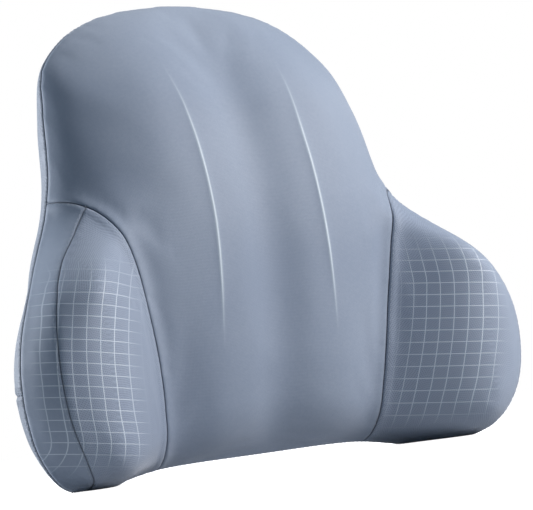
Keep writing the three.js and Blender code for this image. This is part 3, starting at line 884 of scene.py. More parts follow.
CHECKS = {
    Side.LEFT: CheckLines(
        levels=(29.0, 55.0, 74.0, 104.0, 135.0, 151.0, 166.0, 190.0),
        columns=((117, 137, 159.9, 177.2, 189.2, 199.1, 208, 216.3, 223.3, 228.5, 233),
                 (119, 139.5, 163.1, 179.3, 192, 202.5, 212.1, 220.4, 227.5, 232.5, 237),
                 (120, 141, 163.2, 179.1, 192, 203.2, 213.3, 222.1, 229.2, 234.4, 239),
                 (117, 137, 159.1, 176.8, 189.8, 201.2, 211.3, 220.2, 227.2, 231.9, 237),
                 (106, 126, 147.3, 168.2, 183.3, 194.4, 203.3, 211, 216.9, 221.5, 226),
                 (96, 116, 136.6, 158.4, 175.7, 186.9, 195.4, 202.2, 207.5, 211.5, 216),
                 (87, 107, 127, 146.7, 166, 177, 184.4, 191, 195.8, 199.5, 203),
                 (73, 93, 113, 132, 151, 162, 171, 178, 183, 187, 191)),
        rows=((-20.0, -4.6), (17.0, 0), (57.8, 5), (100.1, 10), (143.3, 15), (188.0, 20)),
        lean=1.6, lean_from=4.5,
        first=(0.6, 2.7), last=(7.6, 8.9)),
    Side.RIGHT: CheckLines(
        levels=(20.0, 50.0, 90.0, 120.0, 137.0),
        columns=((92, 100, 108, 116, 124.5, 132.7, 141.2, 149.9, 160, 172.4, 185, 199),
                 (97, 105, 112.5, 120.4, 128.8, 137.8, 146.7, 156.3, 167.3, 179.6, 192, 206),
                 (105, 112.5, 120, 127.9, 136.5, 145.3, 154.6, 164.7, 176.5, 191.3, 204, 218),
                 (110, 117.5, 124.8, 133, 141.1, 149.8, 159, 169.3, 180.8, 195.5, 208, 221),
                 (112, 119.5, 127.1, 134.9, 143.1, 151.2, 160.2, 170.5, 182, 197, 210, 223)),
        rows=((-20.0, -2.5), (4.0, 0), (198.0, 20)), lean=-1.35, lean_from=4.0,
        first=(1.2, 3.6), last=(8.0, 10.4)),
}


@dataclass
class Cover:
    """The sewn cover: centre, wing and outer panels in front, two panels behind."""

    form: CushionForm
    seams: dict[str, SeamLine]
    finishes: Finishes
    thickness: float = 2.0
    cut_levels: tuple[float, ...] = (-8.0, -4.6, -2.2, -0.85, 0.0, 0.85, 2.2, 4.6, 8.0)
    main_groove: Groove = Groove(1.25, 0.8, 0.5, 0.12)
    crest_groove: Groove = Groove(0.75, 0.75, 0.12, 0.12, pucker=0.12)
    rim_groove: Groove = Groove(0.8, 0.8, 0.12, 0.12)
    split_groove: Groove = Groove(1.1, 1.2, 0.3, 0.3)
    zip_height: float = 76.0
    slot_half_height: float = 5.0
    slot_half_length: float = 137.2
    slot_fold: float = 1.5
    crest_line_lift: float = 1.7
    crest_line_width: float = 5.0
    ridge_keys: Keys = ((90, 55.5), (145, 54), (200, 52.3), (255, 52.1), (290, 53.2), (335, 55.5))
    stitch_offset: float = 2.2
    crest_line_cuts: tuple[float, ...] = (-5.0, -2.4, -1.0, 0.0, 1.0, 2.4, 5.0)
    slot_cuts: tuple[float, ...] = (0.0, 1.0, 2.2, 5.0)
    split_cuts: tuple[float, ...] = (-2.6, -1.0, 0.0, 1.0, 2.6)
    seam_clear: float = 6.0
    edge_clear: float = 9.0
    rim_fade: float = 7.0
    rim_centre_height: float = 180.0
    rim_radius: float = 210.0
    slot_fold_width: float = 1.3
    crest_fade_up: float = 85.0
    crest_fade_down: float = 100.0
    # Width of the painted highlight line along each crest.
    crest_highlight_width: float = 0.85
    seam_shade_width: float = 0.62
    least_slant: float = 0.12
    grid_step: float = 3.0
    skin: Skin | None = field(default=None, init=False)

    def build(self, body: Piece) -> None:
        """Cuts the body into panels, sews their seams and dresses them.

        Args:
            body: The soft body, which is used up.
        """
        skin = Skin.of(body)
        remove(body)
        self._measure(skin)
        self._cut(skin)
        self._draw_in(skin)
        self._map_cloth(skin)
        self.skin = skin
        self._make_panels(skin)

    def _measure(self, skin: Skin) -> None:
        """Gives each point its distances from the seams, over the surface.

        Args:
            skin: The body's skin.
        """
        x, y, z = skin.points.T
        normals = skin.normals()
        depth = self.form.back_plane - y
        fields = skin.fields
        steep = np.sqrt(np.maximum(1 - normals[:, 1] ** 2, self.least_slant))
        fields["rim"] = (depth - self.form.edge_depth(x, z)) / steep
        fields["side"] = x.copy()
        for name, seam in self.seams.items():
            signed, away, along = seam.measure(x, z)
            across = away[:, 0] * np.sign(x) * normals[:, 0] + away[:, 1] * normals[:, 2]
            fields[name] = signed / np.sqrt(np.maximum(1 - across**2, self.least_slant))
            fields[f"{name}_along"] = along
        off_x = np.abs(x) - self.slot_half_length
        off_z = np.abs(z - self.zip_height) - self.slot_half_height
        outside = np.hypot(np.maximum(off_x, 0), np.maximum(off_z, 0))
        fields["slot"] = outside + np.minimum(np.maximum(off_x, off_z), 0)
        fields["split"] = z - self.zip_height
        fields["crest_line"] = np.abs(x) - level_profile(self.ridge_keys)(z)
        fields["x0"], fields["z0"] = x.copy(), z.copy()

    def _cut(self, skin: Skin) -> None:
        """Runs edges along every seam and beside it."""
        for level in self.cut_levels:
            skin.cut("rim", level, np.ones(len(skin.faces), bool))
        for level in self.cut_levels:
            skin.cut("main", level, skin.middle("rim") > 0)
        for level in self.cut_levels:
            skin.cut("crest", level, (skin.middle("rim") > 0) & (skin.middle("main") > 0))
        foot, top = self.ridge_keys[0][0], self.ridge_keys[-1][0]
        for level in self.crest_line_cuts:
            height = skin.middle("z0")
            inside = (skin.middle("main") < -self.seam_clear) & (skin.middle("rim") > self.edge_clear)
            skin.cut("crest_line", level, inside & (height > foot) & (height < top))
        for level in self.slot_cuts:
            skin.cut("slot", level, skin.middle("rim") < -self.edge_clear)
        for level in self.split_cuts:
            skin.cut("split", level, (skin.middle("rim") < 0) & (skin.middle("slot") > 0))
        inside_slot = (skin.middle("rim") < -self.edge_clear) & (skin.middle("slot") < 0)
        skin.faces = skin.faces[~inside_slot]

    def _draw_in(self, skin: Skin) -> None:
        """Moves the points: grooves and swells at seams, and the two crisp crests; sets the painted
        crest highlight and seam shade masks.
        """
        f = skin.fields
        x, z = f["x0"], f["z0"]
        rim, main, crest = f["rim"], f["main"], f["crest"]
        front, behind = rim > 0, rim < 0
        past_main = smoothstep(main, 0.0, self.seam_clear)
        lift = np.where(rim > -1e-6, self.main_groove.lift(main, f["main_along"]), 0.0)
        lift *= smoothstep(rim, -1.0, self.rim_fade)
        crest_lift = self.crest_groove.lift(crest, f["crest_along"])
        lift += np.where(front, crest_lift * past_main * smoothstep(rim, 0.0, self.rim_fade), 0.0)
        around = np.arctan2(z - self.rim_centre_height, x) * self.rim_radius
        lift += self.rim_groove.lift(rim, around)
        split = self.split_groove.lift(f["split"], x) * smoothstep(f["slot"], 0.0, self.edge_clear)
        lift += np.where(behind, split * smoothstep(-rim, 0.0, self.rim_fade), 0.0)
        slot = np.where(behind, np.maximum(f["slot"], 0), np.inf)
        lift -= self.slot_fold * np.exp(-((slot / self.slot_fold_width) ** 2))
        inward = smoothstep(-main, self.seam_clear / 2, self.seam_clear * 2)
        # Painted highlight along each crisp crest; its share here also sets how far the crest is
        # lifted.
        f["painted_crest_highlight"] = self._crest_share(z) * front * inward
        crisp = np.exp(-np.abs(f["crest_line"]) / self.crest_line_width)
        lift += self.crest_line_lift * crisp * f["painted_crest_highlight"]
        # Narrowed to the thin line of painted highlight on the crest.
        f["painted_crest_highlight"] *= np.exp(-((f["crest_line"] / self.crest_highlight_width) ** 2))
        gap = np.minimum(np.abs(rim), np.where(front, np.abs(main), np.inf))
        gap = np.minimum(gap, np.where(front & (main > 0), np.abs(crest), np.inf))
        gap = np.minimum(gap, np.where(behind, np.maximum(f["slot"], 0), np.inf))
        f["seam_shade"] = np.exp(-((gap / self.seam_shade_width) ** 2))
        skin.points += skin.normals() * lift[:, None]
        skin.points[:, 2] = np.maximum(skin.points[:, 2], 0.0)

    def _crest_share(self, z: Array) -> Array:
        """How much of the crisp crest is there at a height; it fades at both ends."""
        low, high = self.ridge_keys[0][0], self.ridge_keys[-1][0]
        starts = smoothstep(z, low, low + self.crest_fade_up)
        return starts * (1 - smoothstep(z, high - self.crest_fade_down, high))

    def _map_cloth(self, skin: Skin) -> None:
        """Lays cloth coordinates over the skin, in millimetres along the surface."""
        f = skin.fields
        x, z = f["x0"], f["z0"]
        tree = BVHTree.FromPolygons(skin.points.tolist(), skin.faces.tolist())
        front = f["rim"] >= 0
        u_front, v_front = self._run_lengths(tree, x, z, towards=1)
        u_back, v_back = self._run_lengths(tree, x, z, towards=-1)
        f["cloth_u"] = np.where(front, u_front, u_back)
        f["cloth_v"] = np.where(front, v_front, v_back)
        left, right = (CHECKS[side] for side in Side)
        column = np.where(x < 0, left.column(np.abs(x), z), right.column(np.abs(x), z))
        row = np.where(x < 0, left.row(column, z), right.row(column, z))
        f["check_u"], f["check_v"] = column / MM, row / MM
        fade = np.where(x < 0, left.fade(column, z), right.fade(column, z))
        f["check_fade"] = fade * (front & (f["main"] > 0))

    def _run_lengths(
        self, tree: BVHTree, x: Array, z: Array, towards: int,
    ) -> tuple[Array, Array]:
        """Measures along the surface, across from the middle and up from the floor.

        Args:
            tree: The skin to measure on.
            x: Places across.
            z: Places up.
            towards: 1 to look at the front, -1 to look at the back.

        Returns:
            The two lengths at each place, the first with the sign of x.
        """
        across, up, u_table, v_table = self._run_grid(tree, towards)
        column = np.clip(np.abs(x) / (across[1] - across[0]), 0, len(across) - 1.001)
        row = np.clip(z / (up[1] - up[0]), 0, len(up) - 1.001)
        i, j = row.astype(int), column.astype(int)
        a, b = row - i, column - j

        def look_up(table: Array) -> Array:
            """Reads a table between its entries."""
            low = table[i, j] * (1 - b) + table[i, j + 1] * b
            high = table[i + 1, j] * (1 - b) + table[i + 1, j + 1] * b
            return low * (1 - a) + high * a

        return look_up(u_table) * np.sign(x), look_up(v_table)

    def _run_grid(self, tree: BVHTree, towards: int) -> tuple[Array, ...]:
        """Looks at the right half of one face on a grid and adds up its lengths."""
        step = self.grid_step
        across = np.arange(0, self.form.half_width + 2 * step, step)
        up = np.arange(0, self.form.height + 2 * step, step)
        far = -400.0 * towards
        depth = np.full((len(up), len(across)), np.nan)
        for i, z in enumerate(up):
            for j, x in enumerate(across):
                hit = tree.ray_cast(Vector((x, far, z)), Vector((0, towards, 0)))[0]
                if hit is not None:
                    depth[i, j] = hit.y
        for table in (depth, depth.T):
            for line in table:
                known = np.flatnonzero(~np.isnan(line))
                if len(known):
                    line[:] = np.interp(np.arange(len(line)), known, line[known])
        depth[np.isnan(depth)] = 0.0
        steps_u = np.hypot(step, np.diff(depth, axis=1))
        steps_v = np.hypot(step, np.diff(depth, axis=0))
        u_table = np.concatenate([np.zeros((len(up), 1)), np.cumsum(steps_u, axis=1)], axis=1)
        v_table = np.concatenate([np.zeros((1, len(across))), np.cumsum(steps_v, axis=0)])
        return across, up, u_table, v_table

    def _make_panels(self, skin: Skin) -> None:
        """Makes each panel an object of its own and dresses it."""
        front = skin.middle("rim") > 0
        centre = front & (skin.middle("main") < 0)
        outside = front & (skin.middle("main") > 0) & (skin.middle("crest") > 0)
        wing = front & (skin.middle("main") > 0) & (skin.middle("crest") < 0)
        above = skin.middle("split") > 0
        knit, mesh, back = self.finishes.knit, self.finishes.mesh, self.finishes.back_mesh
        self._panel("centre_panel_cloth", centre, knit, "cover_centre_panel")
        for side in Side:
            here = skin.middle("side") * side.value > 0
            self._panel(f"wing_panel_cloth_{side.word}", wing & here, mesh,
                        f"cover_wing_panel_{side.word}")
            self._panel(f"outer_panel_cloth_{side.word}", outside & here, knit,
                        f"cover_outer_panel_{side.word}")
        self._panel("back_cloth_upper", ~front & above, back, "back_panel_upper")
        self._panel("back_cloth_lower", ~front & ~above, back, "back_panel_lower")

    def _panel(
        self, name: str, keep: Array, material: Material, node: str,
    ) -> None:
        """Makes one panel of cloth with its own thickness.

        Args:
            name: The piece's name.
            keep: The skin's faces that are this panel.
            material: Its finish.
            node: The frame's node that it stands for.
        """
        panel = self.skin.part(name, keep, ("check_fade", "painted_crest_highlight", "seam_shade"))
        apply_modifier(panel, "SOLIDIFY", thickness=self.thickness * MM, offset=-1.0)
        place_piece(panel, CUSHION, material, [node])


# ------------------------------------------------------------------ filling


@dataclass
class Filling:
    """The foam core and the thin liner round it, inside the cover."""

    finishes: Finishes
    liner_inset: float = 3.4
    liner_thickness: float = 0.8
    foam_inset: float = 5.0
    kept_faces: float = 0.45

    def build(self, body: Piece) -> None:
        """Makes both from the soft body, before it is cut into panels.

        Args:
            body: The soft body, which stays as it is.
        """
        liner, foam = self.finishes.liner, self.finishes.foam
        for name, inset, wall, material, slot, node in (
            ("liner_sleeve", self.liner_inset, self.liner_thickness, liner, "liner", "inner_liner"),
            ("foam_block", self.foam_inset, 0.0, foam, "foam", "foam_core"),
        ):
            skin = Skin.of(body)
            points = skin.points - skin.normals() * inset
            points[:, 2] = np.maximum(points[:, 2], inset)
            piece = mesh_object(name, points, skin.faces)
            apply_modifier(piece, "DECIMATE", ratio=self.kept_faces)
            if wall:
                apply_modifier(piece, "SOLIDIFY", thickness=wall * MM, offset=-1.0)
            place_piece(piece, CUSHION, material, [node])


# ------------------------------------------------------------------ stitches


@dataclass(frozen=True)
class Stitching:
    """Rows of thread, each stitch lying half in the cloth."""

    length: float = 3.0
    gap: float = 1.3
    thread: float = 0.62
    flatness: float = 0.75
    dip: float = 0.25

    def template(self) -> tuple[Array, Array]:
        """Models one stitch along X, lying on z = 0.

        Returns:
            Its points in millimetres and its triangles.
        """
        deselect_all()
        bpy.ops.mesh.primitive_uv_sphere_add(segments=6, ring_count=4, radius=self.thread / 2 * MM)
        piece = bpy.context.object
        bpy.ops.object.mode_set(mode="EDIT")
        bpy.ops.mesh.select_all(action="SELECT")
        bpy.ops.transform.rotate(value=math.pi / 2, orient_axis="Y", center_override=(0, 0, 0))
        bpy.ops.transform.resize(value=(self.length / self.thread, 1, self.flatness))
        bpy.ops.object.mode_set(mode="OBJECT")
        skin = Skin.of(piece)
        remove(piece)
        points = skin.points.copy()
        share = np.abs(points[:, 0]) / (self.length / 2)
        points[:, 2] -= self.dip * self.thread * share**2
        return points, skin.faces

    def sew(self, name: str, rows: Sequence[tuple[Array, Array]]) -> Piece:
        """Sews along lines.

        Args:
            name: The piece's name.
            rows: For each line its points and the cloth's normals there, in millimetres.

        Returns:
            All the stitches as one object.
        """
        shape, triangles = self.template()
        points, faces = [], []
        for line, normals in rows:
            lengths = np.linalg.norm(np.diff(line, axis=0), axis=1)
            run = np.concatenate([[0.0], np.cumsum(lengths)])
            pitch = self.length + self.gap
            for middle in np.arange(pitch, run[-1] - pitch / 2, pitch):
                ends = np.array([middle - self.length / 2, middle + self.length / 2])
                a, b = (np.array([np.interp(e, run, line[:, k]) for k in range(3)]) for e in ends)
                up = np.array([np.interp(middle, run, normals[:, k]) for k in range(3)])
                ahead = (b - a) / max(np.linalg.norm(b - a), 1e-9)
                up -= ahead * (up @ ahead)
                up /= max(np.linalg.norm(up), 1e-9)
                frame = np.stack([ahead, np.cross(up, ahead), up])
                faces.append(triangles + len(points) * len(shape))
                points.append(shape @ frame + (a + b) / 2)
        return mesh_object(name, np.concatenate(points), np.concatenate(faces))


@dataclass
class SeamStitches:
    """The visible top stitching of the cover's seams."""

    cover: Cover
    finishes: Finishes
    stitching: Stitching = Stitching()
    fewest_points: int = 12
    rim_clear: float = 4.0

    def __post_init__(self) -> None:
        """Takes the normals of the cover's cloth."""
        self.normals = self.cover.skin.normals()

    def build(self) -> None:
        """Sews beside the wing seams, the crest seams, the edge and the zip."""
        skin, offset = self.cover.skin, self.cover.stitch_offset
        rim = skin.middle("rim")
        past = skin.middle("main") > 0
        for side in Side:
            here = (skin.middle("side") * side.value > 0) & (rim > self.rim_clear)
            rows = self._rows("main", offset, here)
            self._finish(f"wing_seam_stitches_{side.word}", rows)
            rows = self._rows("crest", offset, here & past)
            self._finish(f"crest_seam_stitches_{side.word}", rows)
        self._finish("edge_stitches", self._rows("rim", -offset, rim <= 0))
        slot = self._rows("slot", offset, rim < -self.cover.edge_clear)
        self._finish("zip_slot_stitches", slot)

    def _rows(self, field_name: str, level: float, where: Array) -> list:
        """The lines that an earlier cut ran beside a seam, with the cloth's normals."""
        skin = self.cover.skin
        lines = skin.lines_at(field_name, level, where)
        return [(skin.points[line], self.normals[line])
                for line in lines if len(line) >= self.fewest_points]

    def _finish(self, name: str, rows: list) -> None:
        """Makes, dresses and places one group of stitches, if it has any."""
        if not rows:
            LOG.warning("%s has no line to follow", name)
            return
        piece = self.stitching.sew(name, rows)
        place_piece(piece, CUSHION, self.finishes.thread)


# ------------------------------------------------------------------ hard pieces


@dataclass(frozen=True)
class RoundedCopy:
    """A hard piece: its node's shape with its edges rounded as they are moulded."""

    name: str
    node: str
    body: str
    slot: str
    radius: float
    segments: int = 2
    join_distance: float = 0.01
    flat_angle: float = 3.0
    edge_angle: float = 28.0
    smooth_angle: float = 32.0

    def build(self, material: Material) -> Piece:
        """Copies the node, joins its loose triangles and rounds its edges.

        Args:
            material: The finish.

        Returns:
            The piece.
        """
        source = bpy.data.objects[self.node]
        piece = bpy.data.objects.new(self.name, source.data.copy())
        bpy.context.scene.collection.objects.link(piece)
        pick(piece)
        bpy.ops.object.mode_set(mode="EDIT")
        bpy.ops.mesh.select_all(action="SELECT")
        bpy.ops.mesh.remove_doubles(threshold=self.join_distance * MM)
        bpy.ops.mesh.dissolve_limited(angle_limit=math.radians(self.flat_angle))
        bpy.ops.mesh.customdata_custom_splitnormals_clear()
        bpy.ops.object.mode_set(mode="OBJECT")
        apply_modifier(
            piece, "BEVEL", width=self.radius * MM, segments=self.segments,
            limit_method="ANGLE", angle_limit=math.radians(self.edge_angle), use_clamp_overlap=True)
        pick(piece)
        bpy.ops.object.shade_smooth_by_angle(angle=math.radians(self.smooth_angle))
        return place_piece(piece, self.body, material, [self.node])


@dataclass
class Zip:
    """The zip across the back: two tapes, two coils, end stops, slider and pull."""

    finishes: Finishes
    coil_pitch: float = 1.34
    coil_wire: float = 0.62
    coil_lean: float = 0.22
    tape_ribs: int = 5
    points_per_rib: int = 6
    rib_height: float = 0.05
    rib_inset: float = 0.06
    tape_steps: int = 60

    def build(self) -> None:
        """Models the coils and tapes and rounds the metal pieces."""
        for name in ("upper", "lower"):
            self._coil(name)
            self._tape(name)
        metal = self.finishes.zip_metal
        for side in Side:
            RoundedCopy(f"end_stop_{side.word}", f"zip_stop_{side.word}", CUSHION,
                        "zip_metal", 0.35).build(metal)
        RoundedCopy("slider_body", "zip_slider", "zip_slider", "zip_metal", 0.22).build(metal)
        RoundedCopy("pull_tab", "zip_pull", "zip_pull", "zip_metal", 0.3, 3).build(metal)

    def _coil(self, name: str) -> None:
        """Models one turn of the coil and repeats it along the zip."""
        low, high = (np.array(corner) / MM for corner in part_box(f"zip_coil_{name}"))
        middle, size = (low + high) / 2, high - low
        reach = (size[2] - self.coil_wire) / 2
        deselect_all()
        bpy.ops.mesh.primitive_torus_add(
            major_segments=10, minor_segments=5, major_radius=reach * MM,
            minor_radius=self.coil_wire / 2 * MM)
        piece = bpy.context.object
        piece.name = f"coil_{name}"
        bpy.ops.object.mode_set(mode="EDIT")
        bpy.ops.mesh.select_all(action="SELECT")
        bpy.ops.transform.rotate(value=math.pi / 2, orient_axis="Y", center_override=(0, 0, 0))
        flat = (size[1] - self.coil_wire) / 2 / reach
        bpy.ops.transform.resize(value=(1, flat, 1))
        bpy.ops.object.mode_set(mode="OBJECT")
        bpy.ops.object.transform_apply(location=True, rotation=True, scale=True)
        count = int((size[0] - self.coil_wire) / self.coil_pitch)
        apply_modifier(
            piece, "ARRAY", count=count, use_relative_offset=False, use_constant_offset=True,
            constant_offset_displace=(self.coil_pitch * MM, 0, 0))
        points = points_of(piece)
        lean = self.coil_lean * (points[:, 2] / reach)
        phase = 0.5 * self.coil_pitch if name == "upper" else 0.0
        points[:, 0] += middle[0] - count * self.coil_pitch / 2 + lean + phase
        points[:, 1] += middle[1]
        points[:, 2] += middle[2]
        points[:, 0] = np.clip(points[:, 0], low[0], high[0])
        set_points(piece, points)
        piece.data.polygons.foreach_set("use_smooth", [True] * len(piece.data.polygons))
        place_piece(piece, CUSHION, self.finishes.zip_coil, [f"zip_coil_{name}"])

    def _tape(self, name: str) -> None:
        """Weaves one tape: a thin band with ribs along it."""
        low, high = (np.array(corner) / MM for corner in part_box(f"zip_tape_{name}"))
        rows = self.points_per_rib * self.tape_ribs
        share = np.linspace(0, 1, rows + 1)
        z = low[2] + (high[2] - low[2]) * share
        rib = self.rib_height * np.cos(2 * math.pi * self.tape_ribs * share)
        top = high[1] - self.rib_inset + rib
        profile = np.concatenate([
            np.stack([top, z], axis=1), np.stack([np.full(rows + 1, low[1]), z], axis=1)[::-1]])
        piece = extrude_band(f"tape_{name}", profile, low[0], high[0], self.tape_steps)
        place_piece(piece, CUSHION, self.finishes.zip_tape, [f"zip_tape_{name}"])


def extrude_band(
    name: str, profile: Array, start: float, end: float, steps: int,
) -> Piece:
    """Sweeps a closed profile of y and z straight along X.

    Args:
        name: The piece's name.
        profile: The profile's points in order.
        start: Where the band starts on X.
        end: Where it ends.
        steps: Lengths that it is divided into.

    Returns:
        The closed band.
    """
    count = len(profile)
    points = np.concatenate([
        np.column_stack([np.full(count, x), profile]) for x in np.linspace(start, end, steps + 1)])
    faces = [tuple(range(count)), tuple(steps * count + k for k in reversed(range(count)))]
    for step in range(steps):
        for k in range(count):
            after = (k + 1) % count
            low, high = step * count, (step + 1) * count
            faces.append((low + after, low + k, high + k, high + after))
    piece = mesh_object(name, points, faces)
    face_outwards(piece, smooth_angle=40)
    lay_uv(piece, "cloth", points_of(piece)[:, [0, 2]] * MM)
    return piece


# ------------------------------------------------------------------ straps


@dataclass
class BackStrap:
    """One strap across the back: webbing on both sides of a side-release buckle."""

    level: Level
    height: float
    back: float
    finishes: Finishes
    width: float = 25.0
    thickness: float = 1.6
    reach: float = 131.0
    sewn_length: float = 24.0
    standoff: float = 7.0
    ramp_slope: float = 1.6
    tail: float = 20.0
    seat_gap: float = 0.3
    running_gap: float = 0.4
    hump_gap: float = 0.15
    bar_radius: float = 1.5
    socket_bar: float = 32.9
    plug_bar: float = 14.9
    adjuster_place: float = 74.0
    adjuster_length: float = 20.0
    adjuster_bar: float = 3.4
    adjuster_thickness: float = 2.2
    ramp_bend: float = 3.0
    ramp_ease: float = 0.6
    level_run: float = 6.0
    bar_approach: float = 14.0
    bar_lead: float = 8.0
    slot_clear: float = 0.9
    hump_foot: float = 3.0
    hump_ease: float = 0.1
    line_step: float = 0.9
    ribs: int = 13
    rib_height: float = 0.03
    edge_inset: float = 0.9
    edge_round: float = 0.25
    box_margin: float = 2.5
    box_inset: float = 3.0
    box_lift: float = 0.12
    stitching: Stitching = Stitching(length=2.2, gap=0.8, thread=0.55)

    @property
    def middle(self) -> float:
        """How far the free webbing's middle stands off the back."""
        return self.standoff + self.thickness / 2

    def build(self) -> None:
        """Models the webbing, its stitches and the moulded pieces."""
        name = self.level.value
        webbing = self.finishes.webbing
        left = self._band(f"{name}_webbing_socket_side", self._line(self.socket_bar), -1)
        place_piece(left, CUSHION, webbing, [f"{name}_strap_left"])
        right = self._band(f"{name}_webbing_plug_side", self._line(self.plug_bar), 1)
        place_piece(right, "", webbing, [f"{name}_strap_right"])
        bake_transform(right)
        loop = self._band(f"{name}_webbing_over_adjuster", self._hump(), 1)
        place_piece(loop, f"{name}_adjuster", webbing)
        for side in Side:
            self._sew_down(side)
        for piece, node, body, radius in (
            ("socket_shell", "buckle_socket", CUSHION, 0.7),
            ("plug_body", "buckle_plug", f"{name}_plug", 0.6),
            ("latch_arm_top", "latch_top", f"{name}_latch_top", 0.3),
            ("latch_arm_bottom", "latch_bottom", f"{name}_latch_bottom", 0.3),
            ("slide_frame", "strap_adjuster", f"{name}_adjuster", 0.5),
        ):
            RoundedCopy(f"{name}_{piece}", f"{name}_{node}", body, "plastic", radius).build(
                self.finishes.plastic)

    def _line(self, bar: float) -> Array:
        """The webbing's middle line from its sewn end, round a bar and back.

        Args:
            bar: Where the buckle's bar stands.

        Returns:
            Points of distance from the middle and height off the back.
        """
        sewn = self.seat_gap + self.thickness / 2
        ramp_start = self.reach - self.sewn_length
        ramp_end = ramp_start - self.ramp_slope * self.middle
        wrap = self.bar_radius + self.running_gap + self.thickness / 2
        under = self.middle - self.thickness - self.seat_gap
        points = [
            (self.reach, sewn), (ramp_start, sewn),
            (ramp_start - self.ramp_bend, sewn + self.ramp_ease),
            (ramp_end + self.ramp_bend, self.middle - self.ramp_ease), (ramp_end, self.middle),
            (ramp_end - self.level_run, self.middle),
            (bar + wrap + self.bar_approach, self.middle),
            (bar + wrap + self.bar_lead, self.middle), (bar + 2.5, self.middle + wrap)]
        for i in range(1, 8):
            angle = math.pi / 2 + i / 8 * math.pi
            points.append((bar + wrap * math.cos(angle), self.middle + wrap * math.sin(angle)))
        points += [(bar + 2, self.middle - wrap), (bar + wrap + 6, under),
                   (bar + wrap + self.tail, under)]
        return self._rounded(np.array(points))

    def _hump(self) -> Array:
        """The middle line of the webbing that lies over the adjuster's middle bar."""
        slot = (self.adjuster_length - 3 * self.adjuster_bar) / 2
        outer = self.adjuster_bar / 2 + slot - self.slot_clear
        inner = self.adjuster_bar / 2 + self.slot_clear
        low = self.middle + self.thickness + self.hump_gap
        top = self.middle + self.adjuster_thickness + 2 * self.seat_gap + self.thickness
        place = self.adjuster_place
        start = [(outer + self.hump_foot, low), (outer, low + self.hump_ease), (inner, top)]
        points = [*start, *((-x, y) for x, y in reversed(start))]
        return self._rounded(np.array([(place + x, y) for x, y in points]))

    def _rounded(self, points: Array) -> Array:
        """Cuts a line's corners three times, so that cloth can follow it."""
        for _ in range(3):
            a, b = points[:-1], points[1:]
            cut = np.stack([a * 0.75 + b * 0.25, a * 0.25 + b * 0.75], axis=1).reshape(-1, 2)
            points = np.concatenate([points[:1], cut[1:-1], points[-1:]])
        lengths = np.linalg.norm(np.diff(points, axis=0), axis=1).sum()
        return evenly_along(points, int(lengths / self.line_step))

    def _band(self, name: str, line: Array, side: int) -> Piece:
        """Sweeps the webbing's rounded section along a line.

        Args:
            name: The piece's name.
            line: The middle line.
            side: 1 right of the middle, -1 left of it.

        Returns:
            The band, with its cloth coordinates.
        """
        ahead = np.gradient(line, axis=0)
        ahead /= np.linalg.norm(ahead, axis=1)[:, None]
        outward = np.stack([-ahead[:, 1], ahead[:, 0]], axis=1)
        half, edge = self.width / 2, self.thickness / 2
        ribbed = np.linspace(-half + self.edge_inset, half - self.edge_inset, self.ribs)
        across = np.array([-half + self.edge_round, *ribbed, half - self.edge_round])
        rib = self.rib_height * np.cos(np.arange(len(across)) * math.pi)
        upper = np.column_stack([across, edge + rib])
        upper[[0, -1], 1] = edge * 0.6
        lower = np.column_stack([across[::-1], -upper[::-1, 1]])
        section = np.concatenate([[(-half, 0.0)], upper, [(half, 0.0)], lower])
        count = len(section)
        run = np.concatenate([[0], np.cumsum(np.linalg.norm(np.diff(line, axis=0), axis=1))])
        points = []
        for place, out in zip(line, outward):
            lifted = place + out * section[:, 1:2]
            points.append(np.column_stack([
                lifted[:, 0] * side, lifted[:, 1] + self.back, section[:, 0] + self.height]))
        faces = [tuple(range(count)), tuple((len(line) - 1) * count + k for k in range(count))]
        for step in range(len(line) - 1):
            low, high = step * count, (step + 1) * count
            for k in range(count):
                after = (k + 1) % count
                faces.append((low + k, high + k, high + after, low + after))
        piece = mesh_object(name, np.concatenate(points), faces)
        face_outwards(piece, smooth_angle=50)
        uv = np.column_stack([np.repeat(run, count), np.tile(section[:, 0], len(line))])
        lay_uv(piece, "cloth", uv * MM)
        return piece

    def _sew_down(self, side: Side) -> None:
        """Sews the webbing's end to the back with a box and a cross."""
        top = self.back + self.seat_gap + self.thickness + self.box_lift
        far = self.reach - self.box_margin
        near = self.reach - self.sewn_length + self.box_margin
        half = self.width / 2 - self.box_inset
        corners = [(far, -half), (near, -half), (near, half), (far, half), (far, -half)]
        crosses = [[(far, -half), (near, half)], [(far, half), (near, -half)]]
        rows = []
        for a, b in [*zip(corners, corners[1:]), *crosses]:
            ends = np.array([(x * side.value, top, self.height + z) for x, z in (a, b)])
            rows.append((ends, np.tile([0.0, 1.0, 0.0], (len(ends), 1))))
        name = f"{self.level.value}_strap_stitches_{side.word}"
        piece = self.stitching.sew(name, rows)
        place_piece(piece, CUSHION, self.finishes.strap_thread)


# ------------------------------------------------------------------ node trees


Socket = bpy.types.NodeSocket


